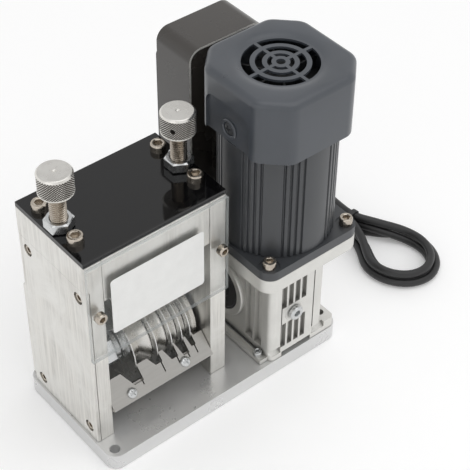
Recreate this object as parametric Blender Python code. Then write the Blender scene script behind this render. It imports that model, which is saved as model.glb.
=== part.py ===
# Wire stripping machine on a base plate: a two-wall head with a driven cutter shaft and a
# sprung-free pressure roller, a worm gearbox with its motor standing on it, and a control box.
# Metres, +Z up. The origin is the centre of the base plate's underside, +X runs along the
# base towards the motor, and -Y is the side where the stripped wire comes out.
import bpy
import bmesh
from math import acos, cos, pi, radians, sin, sqrt, tan
from mathutils import Matrix, Vector

# Clearances and shared small sizes
GAP = 0.0003
OVERRUN = 0.002
EDGE_BREAK = 0.0006
SCREW_FIT = 0.0003
RUNNING_FIT = 0.0005

# Base plate
BASE_DEPTH = 0.110
BASE_THICKNESS = 0.014
BASE_CORNER = 0.0095
BASE_HOLE = 0.008
BASE_HOLE_INSET_X = 0.0075
BASE_HOLE_INSET_Y = 0.008

# Cutting head
HEAD_WIDTH = 0.119
HEAD_DEPTH = 0.080
HEAD_MARGIN = 0.0015
WALL = 0.014
WALL_HEIGHT = 0.175
SHAFT_Y = 0.0053
CUTTER_HEIGHT = 0.0435
AXIS_DISTANCE = 0.0545
COVER_THICKNESS = 0.003
COVER_HEIGHT = 0.151
COVER_SCREW_INSET = 0.010
COVER_SCREW_SKIN = 0.0005
TOP_PLATE_THICKNESS = 0.004
TOP_SCREW_INSET = 0.0095
TOP_SCREW_FRONT = 0.0183
TOP_SCREW_REAR = 0.0237
CROSSBAR_HEIGHT = 0.026
CROSSBAR_DEPTH = 0.010
CROSSBAR_TAB_WIDTH = 0.007
CROSSBAR_TAB_DROP = 0.012
GUARD_THICKNESS = 0.003
GUARD_BOTTOM = 0.087
GUARD_TOP_MARGIN = 0.0005
GUARD_SCREW_INSET = 0.007
GUARD_SCREW_HEIGHT = 0.130

# Screws: shank, head radius and head height of the two kinds
CAP_SHANK = 0.003
CAP_HEAD = 0.005
CAP_HEAD_HEIGHT = 0.006
CAP_HEX = 0.0025
CAP_DRIVE_DEPTH = 0.003
CAP_LENGTH = 0.014
PAN_SHANK = 0.002
PAN_HEAD = 0.0042
PAN_HEAD_HEIGHT = 0.0028
PAN_LENGTH = 0.008
HEAD_CHAMFER = 0.0006

# Bearing blocks, adjusting studs and knobs
BLOCK_WIDTH = 0.0124
BLOCK_HALF_DEPTH = 0.0177
BLOCK_HALF_HEIGHT = 0.018
CHAMBER_SKIN = 0.003
CARRIAGE_DOWN = 0.002
CARRIAGE_UP = 0.010
CHAMBER_SLACK = 0.0006
STUD_CHANNEL = 0.013
KNOB_INSET = 0.0095
STUD_RADIUS = 0.005
STUD_SEAT_DEPTH = 0.0024
NUT_ACROSS_FLATS = 0.017
NUT_HEIGHT = 0.008
NUT_CHAMFER = 0.001
KNOB_RADIUS = 0.0125
KNOB_HEIGHT = 0.018
KNOB_RISE = 0.033
KNOB_CHAMFER = 0.0012
KNOB_STUD_DEPTH = 0.012
KNOB_HOLE = 0.0015
KNOB_HOLE_DEPTH = 0.006

# Bearings: outer radius, bore radius and width
MAIN_BEARING = 0.0175
MAIN_BEARING_WIDTH = 0.010
ROLLER_BEARING = 0.014
ROLLER_BEARING_WIDTH = 0.008

# Cutter shaft and the stack on it, from the end flange leftwards
CUTTER_SHAFT = 0.0085
CUTTER_SHAFT_END = 0.007
BLADE_RADIUS = 0.0295
BLADE_THICKNESS = 0.002
BLADE_BEVEL = 0.0035
SPACER_RADIUS = 0.0246
SPACER_RIM = 0.0011
SPACER_SHARE_1 = 0.2974
SPACER_SHARE_2 = 0.1861
SPACER_SHARE_3 = 0.1183
SPACER_SHARE_4 = 0.0870
SPACER_SHARES = (SPACER_SHARE_4, SPACER_SHARE_3, SPACER_SHARE_2, SPACER_SHARE_1)
SPACER_GROOVE_SHARE = 0.28
FLANGE_RADIUS = 0.0264
FLANGE_WIDTH = 0.0070
FLANGE_WALL_GAP = 0.0025
COLLAR_RADIUS = 0.014
COLLAR_WIDTH = 0.004
STACK_NUT_RADIUS = 0.0135
STACK_NUT_WIDTH = 0.010

# Pressure roller
ROLLER_RADIUS = 0.026
ROLLER_SHAFT = 0.006
ROLLER_GROOVE_RADIUS = 0.0218
ROLLER_GROOVE_SIDE = 0.0008
ROLLER_WALL_GAP = 0.0035

# Outlet tray, laid at 45 degrees, with its bar
TRAY_ANGLE = radians(45)
TRAY_REAR_Y = -0.0225
TRAY_REAR_HEIGHT = 0.0425
TRAY_LENGTH = 0.0226
TRAY_THICKNESS = 0.003
TRAY_SCREW_ALONG = 0.0165
TRAY_SCREW_1 = 0.0185
TRAY_SCREW_2 = 0.0672
TRAY_BAR_HALF_WIDTH = 0.0055
TRAY_BAR_THICKNESS = 0.008
NOTCH_SIDE = 0.0013
NOTCH_WIDTH_1 = 0.0120
NOTCH_WIDTH_2 = 0.0077
NOTCH_WIDTH_3 = 0.0070
NOTCH_WIDTH_4 = 0.0054
NOTCH_WIDTH_5 = 0.0026
NOTCH_DEPTH_1 = 0.0125
NOTCH_DEPTH_2 = 0.0075
NOTCH_DEPTH_3 = 0.0100
NOTCH_DEPTH_4 = 0.0120
NOTCH_DEPTH_5 = 0.0090
NOTCH_WIDTHS = (NOTCH_WIDTH_5, NOTCH_WIDTH_4, NOTCH_WIDTH_3, NOTCH_WIDTH_2, NOTCH_WIDTH_1)
NOTCH_DEPTHS = (NOTCH_DEPTH_5, NOTCH_DEPTH_4, NOTCH_DEPTH_3, NOTCH_DEPTH_2, NOTCH_DEPTH_1)
NOTCH_TIP_SHARE = 0.45
TRAY_END_STEP = 0.0022
SLIT_WIDTH = 0.0009
SLIT_END = 0.0155

# Inlet guide plate with a graded row of wire holes
INLET_THICKNESS = 0.0077
INLET_HEIGHT = 0.094
INLET_FLARE = 0.0010
INLET_HOLE_1 = 0.0050
INLET_HOLE_2 = 0.0040
INLET_HOLE_3 = 0.0028
INLET_HOLE_4 = 0.0020
INLET_HOLES = (INLET_HOLE_4, INLET_HOLE_3, INLET_HOLE_2, INLET_HOLE_1)
INLET_SLOT_HALF_WIDTH = 0.0060
INLET_SLOT_HALF_HEIGHT = 0.0030
INLET_SLOT_OFFSET = 0.0150

# Worm gearbox
HEAD_TO_MOTOR = 0.055
CENTRE_DISTANCE = 0.0301
CASE_WIDTH = 0.0534
CASE_MARGIN = 0.0178
CASE_FRONT = 0.0295
CASE_REAR = 0.0400
CASE_TOP = 0.094
CASE_CORNER = 0.005
CASE_FOOT = 0.0045
CASE_FOOT_LENGTH = 0.012
OUTPUT_BOSS = 0.0285
OUTPUT_BOSS_PROUD = 0.0028
OUTPUT_SEAL = 0.0225
OUTPUT_SEAL_WIDTH = 0.005
WHEEL_CHAMBER = 0.0245
WORM_CHAMBER = 0.0150
CASE_SKIN = 0.009
CASE_COVER_RADIUS = 0.0320
CASE_COVER_THICKNESS = 0.004
CASE_COVER_SPIGOT = 0.005
CASE_COVER_SCREWS = 0.0285
POST_WIDTH_LEFT = 0.0106
POST_WIDTH_RIGHT = 0.0186
RIB_COUNT = 4
RIB_THICKNESS = 0.0018
RIB_DEPTH = 0.0042
PANEL_MARGIN = 0.0055
PLUG_RADIUS = 0.0060
PLUG_BOSS = 0.0085
PLUG_PROUD = 0.0040
CORNER_POCKET = 0.0030
CORNER_POCKET_LENGTH = 0.0085
CORNER_POCKET_INSET = 0.011
WORM_MODULE = 0.0014
WHEEL_TEETH = 30
WHEEL_WIDTH = 0.010
WHEEL_HUB = 0.012
WHEEL_HUB_BORE_FIT = 0.0003
WORM_ADDENDUM = 0.0012
WORM_DEDENDUM = 0.0017
WORM_TURNS = 3
WORM_TOOTH_SHARE = 0.20
WORM_FLANK_SHARE = 0.10
WHEEL_TOOTH_SHARE = 0.18
WHEEL_FLANK_SHARE = 0.10

# Motor
FLANGE_SIDE = 0.090
FLANGE_CORNER = 0.011
ADAPTER_THICKNESS = 0.0125
MOTOR_FLANGE_THICKNESS = 0.008
BOLT_OFFSET = 0.03675
MOTOR_RADIUS = 0.0430
MOTOR_WALL = 0.0075
MOTOR_BODY_HEIGHT = 0.0915
MOTOR_GROOVE_DEPTH = 0.0016
MOTOR_GROOVE_PITCH = radians(6.2)
MOTOR_GROOVE_CENTRE = radians(25)
MOTOR_GROOVES = 4
MOTOR_GROOVE_SHARE = 0.45
STATOR_BORE = 0.0200
STATOR_HEIGHT = 0.055
STATOR_LIFT = 0.012
ROTOR_RADIUS = 0.0194
ROTOR_HEIGHT = 0.050
MOTOR_SHAFT = 0.006
WORM_SHAFT = 0.0045
MOTOR_SHIELD = 0.008

# Fan cowl and fan
COWL_HALF = 0.045
COWL_FLAT_HALF = 0.022
COWL_CORNER = 0.012
COWL_HEIGHT = 0.050
COWL_WALL = 0.0025
COWL_TOP_ROUND = 0.003
COWL_LIP = 0.032
COWL_LIP_DEPTH = 0.0006
VENT_OUTER_1 = 0.0270
VENT_INNER_1 = 0.0210
VENT_OUTER_2 = 0.0175
VENT_INNER_2 = 0.0127
VENT_OUTER_3 = 0.0093
VENT_INNER_3 = 0.0064
VENT_RINGS = ((VENT_OUTER_1, VENT_INNER_1), (VENT_OUTER_2, VENT_INNER_2), (VENT_OUTER_3, VENT_INNER_3))
VENT_CENTRE = 0.0032
VENT_SPOKE = 0.0026
FAN_RADIUS = 0.0330
FAN_HUB = 0.0110
FAN_HEIGHT = 0.014
FAN_BLADES = 6
FAN_BLADE_THICKNESS = 0.0016
FAN_DISC = 0.002
FAN_TOP_GAP = 0.006

# Control box behind the motor
BOX_LEFT_OF_MOTOR = 0.0368
BOX_WIDTH = 0.0667
BOX_BEHIND_MOTOR = 0.0528
BOX_DEPTH = 0.0370
BOX_BOTTOM = 0.130
BOX_TOP = 0.260
BOX_BEND = 0.009
BOX_SHEET = 0.0015
BOX_PLATE_RECESS = 0.0015
BOX_PLATE_THICKNESS = 0.002
BOX_BRACKET_WIDTH = 0.030
BOX_BRACKET_LOW = 0.150
BOX_BRACKET_HIGH = 0.215
LID_DEPTH = 0.007
LID_INSET = 0.004
LID_TOP_DROP = 0.018
LID_CORNER = 0.006
LID_SCREW_INSET = 0.008
CAPACITOR_RADIUS = 0.014
CAPACITOR_LENGTH = 0.055
SWITCH_WIDTH = 0.013
SWITCH_HEIGHT = 0.0195
SWITCH_BEZEL = 0.0015
SWITCH_BEZEL_THICKNESS = 0.002
SWITCH_BODY_DEPTH = 0.018
SWITCH_UP = 0.085
ROCKER_GAP = 0.0008
ROCKER_PROUD = 0.0035
ROCKER_TILT = radians(9)
GLAND_RADIUS = 0.0085
GLAND_TIP = 0.0050
GLAND_LENGTH = 0.022
GLAND_COLLAR = 0.003
GLAND_UP = 0.020
GLAND_FROM_RIGHT = 0.027

# Mains lead: diameter, loops of the hank and the steps between them
CORD_DIAMETER = 0.0068
CORD_REST = 0.0006
HANK_X = 0.196
HANK_Y = 0.045
HANK_TURN = radians(8.5)
HANK_RUN = 0.072
HANK_END_RADIUS = 0.0335
HANK_END_STRETCH = 1.25
HANK_WAIST = 0.0175
HANK_STEP = 0.0088
HANK_LAYER = 0.0075
HANK_LOOPS = 3
HANK_REVERSE_SHARE = 1.75 / 3
HANK_LOOP_POINTS = 24
HANK_TAIL = 0.044
HANK_TAIL_DROP_SHARE = 0.55
HANK_TAIL_REST_SHARE = 0.82
LEAD_FALL = ((0.0710, 0.1130, 0.1470), (0.0770, 0.1220, 0.1370), (0.0835, 0.1275, 0.1180),
             (0.0890, 0.1305, 0.0960), (0.0940, 0.1330, 0.0730), (0.0990, 0.1350, 0.0500),
             (0.1045, 0.1375, 0.0290), (0.1130, 0.1410, 0.0125))
LEAD_FLOOR = ((0.1250, 0.1450), (0.1400, 0.1495))
TIE_WIDTH = 0.007
TIE_THICKNESS = 0.0012
TIE_SLACK = 0.0012
PLUG_LENGTH = 0.030
PLUG_WIDTH = 0.020
PLUG_HEIGHT = 0.017
PLUG_PIN_LENGTH = 0.018
PLUG_PIN_WIDTH = 0.0063
PLUG_PIN_THICKNESS = 0.0016
PLUG_PIN_SPACING = 0.0127
PLUG_RELIEF = 0.012
PLUG_RELIEF_RADIUS = 0.0045

# Segments round a full circle
FINE_STEPS = 24
ROUND_STEPS = 20
CORE_STEPS = 16
BEARING_STEPS = 12
SMALL_STEPS = 12
PIN_STEPS = 8

# Places worked out from the sizes above
BASE_LENGTH = HEAD_MARGIN + HEAD_WIDTH + HEAD_TO_MOTOR + CASE_WIDTH / 2 + CASE_MARGIN
HEAD_LEFT = -BASE_LENGTH / 2 + HEAD_MARGIN
HEAD_RIGHT = HEAD_LEFT + HEAD_WIDTH
HEAD_FRONT = SHAFT_Y - HEAD_DEPTH / 2
HEAD_REAR = SHAFT_Y + HEAD_DEPTH / 2
DECK = BASE_THICKNESS
HEAD_TOP = DECK + WALL_HEIGHT
LEFT_INNER = HEAD_LEFT + WALL
RIGHT_INNER = HEAD_RIGHT - WALL
CUTTER_Z = DECK + CUTTER_HEIGHT
ROLLER_Z = CUTTER_Z + AXIS_DISTANCE
PLATE_TOP = HEAD_TOP + GAP + TOP_PLATE_THICKNESS
SEAM_Z = DECK + COVER_HEIGHT
MOTOR_X = HEAD_RIGHT + HEAD_TO_MOTOR
MOTOR_Y = SHAFT_Y - CENTRE_DISTANCE
CASE_LEFT = MOTOR_X - CASE_WIDTH / 2
CASE_RIGHT = MOTOR_X + CASE_WIDTH / 2
CASE_FRONT_Y = MOTOR_Y - CASE_FRONT
CASE_REAR_Y = SHAFT_Y + CASE_REAR
CASE_TOP_Z = DECK + CASE_TOP
ADAPTER_Z = CASE_TOP_Z + GAP
MOTOR_FLANGE_Z = ADAPTER_Z + ADAPTER_THICKNESS + GAP
MOTOR_Z = MOTOR_FLANGE_Z + MOTOR_FLANGE_THICKNESS + GAP
COWL_Z = MOTOR_Z + MOTOR_BODY_HEIGHT
COWL_TOP_Z = COWL_Z + COWL_HEIGHT
KNOB_Z = PLATE_TOP + KNOB_RISE - GAP
LEFT_KNOB_X = HEAD_LEFT + KNOB_INSET
RIGHT_KNOB_X = HEAD_RIGHT - KNOB_INSET
BOX_LEFT = MOTOR_X - BOX_LEFT_OF_MOTOR
BOX_FRONT = MOTOR_Y + BOX_BEHIND_MOTOR
BOX_REAR = BOX_FRONT + BOX_DEPTH
BOX_CENTRE_X = BOX_LEFT + BOX_WIDTH / 2
INLET_SCREW_LENGTH = PAN_LENGTH + INLET_THICKNESS / 2
STACK_ENDS = FLANGE_WALL_GAP + FLANGE_WIDTH + COLLAR_WIDTH + STACK_NUT_WIDTH
STACK_BLADES = (len(SPACER_SHARES) + 1) * BLADE_THICKNESS
SPACER_ROOM = RIGHT_INNER - LEFT_INNER - STACK_ENDS - STACK_BLADES
SPACER_WIDTHS = [share * SPACER_ROOM for share in SPACER_SHARES]


def stack_places():
    """X of the flange's left face, then of each blade's middle and each spacer's middle, leftwards."""
    edge = RIGHT_INNER - FLANGE_WALL_GAP - FLANGE_WIDTH - GAP
    blades = [edge - BLADE_THICKNESS / 2]
    spacers = []
    edge -= BLADE_THICKNESS + GAP
    for width in SPACER_WIDTHS:
        spacers.append(edge - width / 2)
        edge -= width + GAP
        blades.append(edge - BLADE_THICKNESS / 2)
        edge -= BLADE_THICKNESS + GAP
    return blades, spacers, edge


BLADES, SPACERS, STACK_END = stack_places()


# Building blocks

def clear_scene():
    for item in list(bpy.data.objects):
        bpy.data.objects.remove(item, do_unlink=True)


def material(name, colour, roughness, metallic, alpha=1):
    finish = bpy.data.materials.new(name)
    finish.use_nodes = True
    shader = finish.node_tree.nodes["Principled BSDF"]
    shader.inputs["Base Color"].default_value = (*colour, 1)
    shader.inputs["Roughness"].default_value = roughness
    shader.inputs["Metallic"].default_value = metallic
    shader.inputs["Alpha"].default_value = alpha
    return finish


def loft(bm, rings, closed=False, capped=True):
    """Joins rings of equal point counts with quads; caps both ends unless the loft closes on itself."""
    rows = [[bm.verts.new(point) for point in ring] for ring in rings]
    count = len(rows[0])
    pairs = list(zip(rows, rows[1:]))
    if closed:
        pairs.append((rows[-1], rows[0]))
    for lower, upper in pairs:
        for i in range(count):
            j = (i + 1) % count
            bm.faces.new((lower[i], lower[j], upper[j], upper[i]))
    if capped and not closed:
        bm.faces.new(list(reversed(rows[0])))
        bm.faces.new(rows[-1])


def circle(radius, height, steps, phase=0):
    turns = [phase + 2 * pi * i / steps for i in range(steps)]
    return [Vector((radius * cos(turn), radius * sin(turn), height)) for turn in turns]


def hexagon(flat, height, steps):
    """A hexagon given as corners and middles of sides, so it matches a ring of 12 or 24 points."""
    points = []
    for i in range(steps):
        angle = 2 * pi * i / steps
        fold = (angle + pi / 6) % (pi / 3) - pi / 6
        points.append(Vector((flat / cos(fold) * cos(angle), flat / cos(fold) * sin(angle), height)))
    return points


def turned(profile, steps, bored=False):
    """A turned body about Z from (radius, height) points, bottom to top, and back inside if bored."""
    bm = bmesh.new()
    loft(bm, [circle(radius, height, steps) for radius, height in profile], closed=bored)
    return bm


def ring(outer, inner, width, steps, chamfer=0):
    profile = [(inner, 0), (outer - chamfer, 0), (outer, chamfer), (outer, width - chamfer),
               (outer - chamfer, width), (inner, width)]
    if not chamfer:
        profile = [(inner, 0), (outer, 0), (outer, width), (inner, width)]
    return turned(profile, steps, bored=True)


def box(low, high):
    bm = bmesh.new()
    add_box(bm, low, high)
    return bm


def add_box(bm, low, high):
    corners = [(low[0], low[1]), (high[0], low[1]), (high[0], high[1]), (low[0], high[1])]
    loft(bm, [[Vector((x, y, z)) for x, y in corners] for z in (low[2], high[2])])


def prism(outline, low, high, axis="Z"):
    """An outline drawn across an axis and drawn out from low to high along it."""
    place = {"X": lambda a, b, c: Vector((c, a, b)), "Y": lambda a, b, c: Vector((b, c, a)),
             "Z": lambda a, b, c: Vector((a, b, c))}[axis]
    bm = bmesh.new()
    loft(bm, [[place(a, b, c) for a, b in outline] for c in (low, high)])
    return bm


def rounded(points, radius, steps):
    """The outline through points, given anticlockwise, with each corner turned to an arc."""
    outline = []
    for i, corner in enumerate(points):
        here = Vector(corner)
        before = (Vector(points[i - 1]) - here).normalized()
        after = (Vector(points[(i + 1) % len(points)]) - here).normalized()
        half = acos(max(-1, min(1, before.dot(after)))) / 2
        centre = here + (before + after).normalized() * radius / sin(half)
        start = here + before * radius / tan(half) - centre
        end = here + after * radius / tan(half) - centre
        sweep = start.angle_signed(end)
        for k in range(steps + 1):
            outline.append(tuple(centre + Matrix.Rotation(-sweep * k / steps, 2) @ start))
    return outline


def rectangle(x0, x1, y0, y1):
    return [(x0, y0), (x1, y0), (x1, y1), (x0, y1)]


def along(direction, centre):
    """The frame whose own Z runs along a direction from a centre."""
    turn = Vector((0, 0, 1)).rotation_difference(Vector(direction)).to_matrix().to_4x4()
    return Matrix.Translation(centre) @ turn


def moved(bm, frame):
    bm.transform(frame)
    return bm


def joined(parts):
    whole = bmesh.new()
    for part in parts:
        mesh = bpy.data.meshes.new("part")
        part.to_mesh(mesh)
        part.free()
        whole.from_mesh(mesh)
        bpy.data.meshes.remove(mesh)
    return whole


def shape(name, bm, origin=(0, 0, 0)):
    bmesh.ops.remove_doubles(bm, verts=bm.verts, dist=1e-7)
    bmesh.ops.dissolve_degenerate(bm, edges=bm.edges, dist=1e-7)
    bmesh.ops.recalc_face_normals(bm, faces=bm.faces)
    bm.transform(Matrix.Translation(-Vector(origin)))
    mesh = bpy.data.meshes.new(name)
    bm.to_mesh(mesh)
    bm.free()
    item = bpy.data.objects.new(name, mesh)
    item.location = origin
    bpy.context.scene.collection.objects.link(item)
    return item


def piece(name, bm, finish, origin=(0, 0, 0), smooth=None, carrier=None):
    """A named piece with its origin; smooth is the angle above which edges stay sharp."""
    item = shape(name, bm, origin)
    item.data.materials.append(finish)
    if smooth:
        item.data.shade_smooth()
        item.data.set_sharp_from_angle(angle=smooth)
    if carrier:
        item.parent = carrier
        item.matrix_parent_inverse = Matrix.Translation(carrier.location).inverted()
    return item


def cut(item, name, bm):
    """Takes a cutter's volume out of a piece."""
    cutter = shape(name, bm)
    cutter.hide_render = True
    cutter.display_type = "WIRE"
    modifier = item.modifiers.new(name, "BOOLEAN")
    modifier.operation = "DIFFERENCE"
    modifier.object = cutter
    return cutter


def bevelled(item, width, segments=1):
    modifier = item.modifiers.new("edge break", "BEVEL")
    modifier.width = width
    modifier.segments = segments
    modifier.limit_method = "ANGLE"
    modifier.angle_limit = radians(50)


def axis_empty(name, centre):
    empty = bpy.data.objects.new(name, None)
    empty.location = centre
    bpy.context.scene.collection.objects.link(empty)
    return empty


def cap_screw(length=CAP_LENGTH):
    """A socket cap screw seated on Z = 0, head up, with its hexagon socket."""
    steps = SMALL_STEPS
    top = CAP_HEAD_HEIGHT
    bm = bmesh.new()
    loft(bm, [circle(CAP_SHANK, -length, steps), circle(CAP_SHANK, 0, steps), circle(CAP_HEAD, 0, steps),
              circle(CAP_HEAD, top, steps), hexagon(CAP_HEX, top, steps),
              hexagon(CAP_HEX, top - CAP_DRIVE_DEPTH, steps)])
    return bm


def pan_screw(length=PAN_LENGTH):
    """A plain screw with a tapering head, seated on Z = 0, head up."""
    return turned([(PAN_SHANK, -length), (PAN_SHANK, 0), (PAN_HEAD, 0),
                   (PAN_HEAD - PAN_HEAD_HEIGHT / 4, PAN_HEAD_HEIGHT)], PIN_STEPS)


def screws(places, make):
    """Copies of one screw; each place is (seat centre, direction that its head points)."""
    return joined([moved(make(), along(direction, seat)) for seat, direction in places])


def drilled(places, radius, low, high):
    """Cutters on the screws' axes, between two heights measured from each seat towards the head."""
    profile = [(radius + SCREW_FIT, low), (radius + SCREW_FIT, high)]
    return joined([moved(turned(profile, PIN_STEPS), along(direction, seat)) for seat, direction in places])


def screw_holes(places, radius, length):
    return drilled(places, radius, -length - GAP, OVERRUN)


def fasten(item, name, places, make):
    """Screws that stay with the piece they hold, one body with it."""
    join(item, name, screws(places, make))


# Screw places, shared by the screws and the holes they sit in

def top_screw_places():
    return [((x, y, PLATE_TOP - GAP), (0, 0, 1))
            for x in (HEAD_LEFT + TOP_SCREW_INSET, HEAD_RIGHT - TOP_SCREW_INSET)
            for y in (SHAFT_Y - TOP_SCREW_FRONT, SHAFT_Y + TOP_SCREW_REAR)]


def cover_screw_places():
    seat = HEAD_LEFT + COVER_THICKNESS - GAP
    return [((seat, y, z), (-1, 0, 0))
            for y in (HEAD_FRONT + COVER_SCREW_INSET, HEAD_REAR - COVER_SCREW_INSET)
            for z in (DECK + COVER_SCREW_INSET, SEAM_Z - COVER_SCREW_INSET)]


def guard_screw_places():
    seat = HEAD_FRONT - GUARD_THICKNESS
    return [((x, seat, DECK + GUARD_SCREW_HEIGHT), (0, -1, 0))
            for x in (HEAD_LEFT + GUARD_SCREW_INSET, HEAD_RIGHT - GUARD_SCREW_INSET)]


def inlet_screw_places():
    seat = HEAD_REAR + INLET_THICKNESS
    return [((x, seat, z), (0, 1, 0))
            for x in (HEAD_LEFT + WALL / 2 + COVER_THICKNESS / 2, HEAD_RIGHT - WALL / 2)
            for z in (DECK + COVER_SCREW_INSET, DECK + INLET_HEIGHT - COVER_SCREW_INSET)]


def tray_frame():
    """Frame of the tray's upper face: X along the shaft, Y up the slope to the rear edge, Z outward."""
    corner = Vector((0, TRAY_REAR_Y, DECK + TRAY_REAR_HEIGHT))
    return Matrix.Translation(corner) @ Matrix.Rotation(TRAY_ANGLE, 4, "X")


def tray_screw_places():
    frame = tray_frame()
    out = frame.to_3x3() @ Vector((0, 0, 1))
    return [(frame @ Vector((LEFT_INNER + x, -TRAY_SCREW_ALONG, -GAP)), out)
            for x in (TRAY_SCREW_1, TRAY_SCREW_2)]


def motor_bolt_places():
    seat = MOTOR_FLANGE_Z + MOTOR_FLANGE_THICKNESS - GAP
    return [((MOTOR_X + BOLT_OFFSET * i, MOTOR_Y + BOLT_OFFSET * j, seat), (0, 0, 1))
            for i in (-1, 1) for j in (-1, 1)]


def lid_screw_places():
    seat = BOX_REAR + LID_DEPTH
    xs = (BOX_LEFT + LID_INSET + LID_SCREW_INSET, BOX_LEFT + BOX_WIDTH - LID_INSET - LID_SCREW_INSET)
    zs = (BOX_BOTTOM + LID_SCREW_INSET, BOX_TOP - LID_TOP_DROP - LID_SCREW_INSET)
    return [((x, seat, z), (0, 1, 0)) for x in xs for z in zs]


def case_cover_screw_places():
    seat = CASE_RIGHT + CASE_COVER_THICKNESS
    turn = pi / 4
    return [((seat, SHAFT_Y + CASE_COVER_SCREWS * cos(turn + k * pi / 2),
              CUTTER_Z + CASE_COVER_SCREWS * sin(turn + k * pi / 2)), (1, 0, 0)) for k in range(4)]


# Base plate and cutting head

def make_base(steel):
    corners = rectangle(-BASE_LENGTH / 2, BASE_LENGTH / 2, -BASE_DEPTH / 2, BASE_DEPTH / 2)
    plate = piece("base_plate", prism(rounded(corners, BASE_CORNER, 4), 0, BASE_THICKNESS), steel)
    x = BASE_LENGTH / 2 - BASE_HOLE_INSET_X
    y = BASE_DEPTH / 2 - BASE_HOLE_INSET_Y
    hole = [(BASE_HOLE / 2, -OVERRUN), (BASE_HOLE / 2, BASE_THICKNESS + OVERRUN)]
    holes = joined([moved(turned(hole, SMALL_STEPS), Matrix.Translation((i * x, j * y, 0)))
                    for i in (-1, 1) for j in (-1, 1)])
    bevelled(plate, EDGE_BREAK)
    cut(plate, "base_holes", holes)


def wall(name, outer, inner, steel, recess):
    """One side wall, from its outer face to its inner face, with the chamber for its bearing block."""
    side = 1 if inner > outer else -1
    low, high = sorted((outer, inner))
    item = piece(name, box((low, HEAD_FRONT, DECK + GAP), (high, HEAD_REAR, HEAD_TOP)), steel)
    skin = outer + side * CHAMBER_SKIN
    mouth = inner + side * OVERRUN
    chamber_low = ROLLER_Z - BLOCK_HALF_HEIGHT - CARRIAGE_DOWN - CHAMBER_SLACK
    chamber_high = ROLLER_Z + BLOCK_HALF_HEIGHT + CARRIAGE_UP + CHAMBER_SLACK
    half = BLOCK_HALF_DEPTH + GAP
    span = sorted((skin, mouth))
    chamber = box((span[0], SHAFT_Y - half, chamber_low), (span[1], SHAFT_Y + half, chamber_high))
    cut(item, name + "_chamber", chamber)
    channel = STUD_CHANNEL / 2
    cut(item, name + "_channel", box((span[0], SHAFT_Y - channel, chamber_high - OVERRUN),
                                     (span[1], SHAFT_Y + channel, HEAD_TOP + OVERRUN)))
    if recess:
        cut(item, name + "_recess", box((outer - OVERRUN, HEAD_FRONT - OVERRUN, DECK - OVERRUN),
                                        (outer + COVER_THICKNESS + GAP, HEAD_REAR + OVERRUN, SEAM_Z + GAP)))
    seat = MAIN_BEARING + GAP
    depth = MAIN_BEARING_WIDTH + GAP
    bore = (CUTTER_SHAFT + MAIN_BEARING) / 2
    through = WALL + OVERRUN
    profile = [(bore, 0), (bore, through - depth), (seat, through - depth), (seat, through + OVERRUN)]
    start = (outer - side * OVERRUN, SHAFT_Y, CUTTER_Z)
    cut(item, name + "_bearing_seat", moved(turned(profile, ROUND_STEPS), along((side, 0, 0), start)))
    return item


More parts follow.
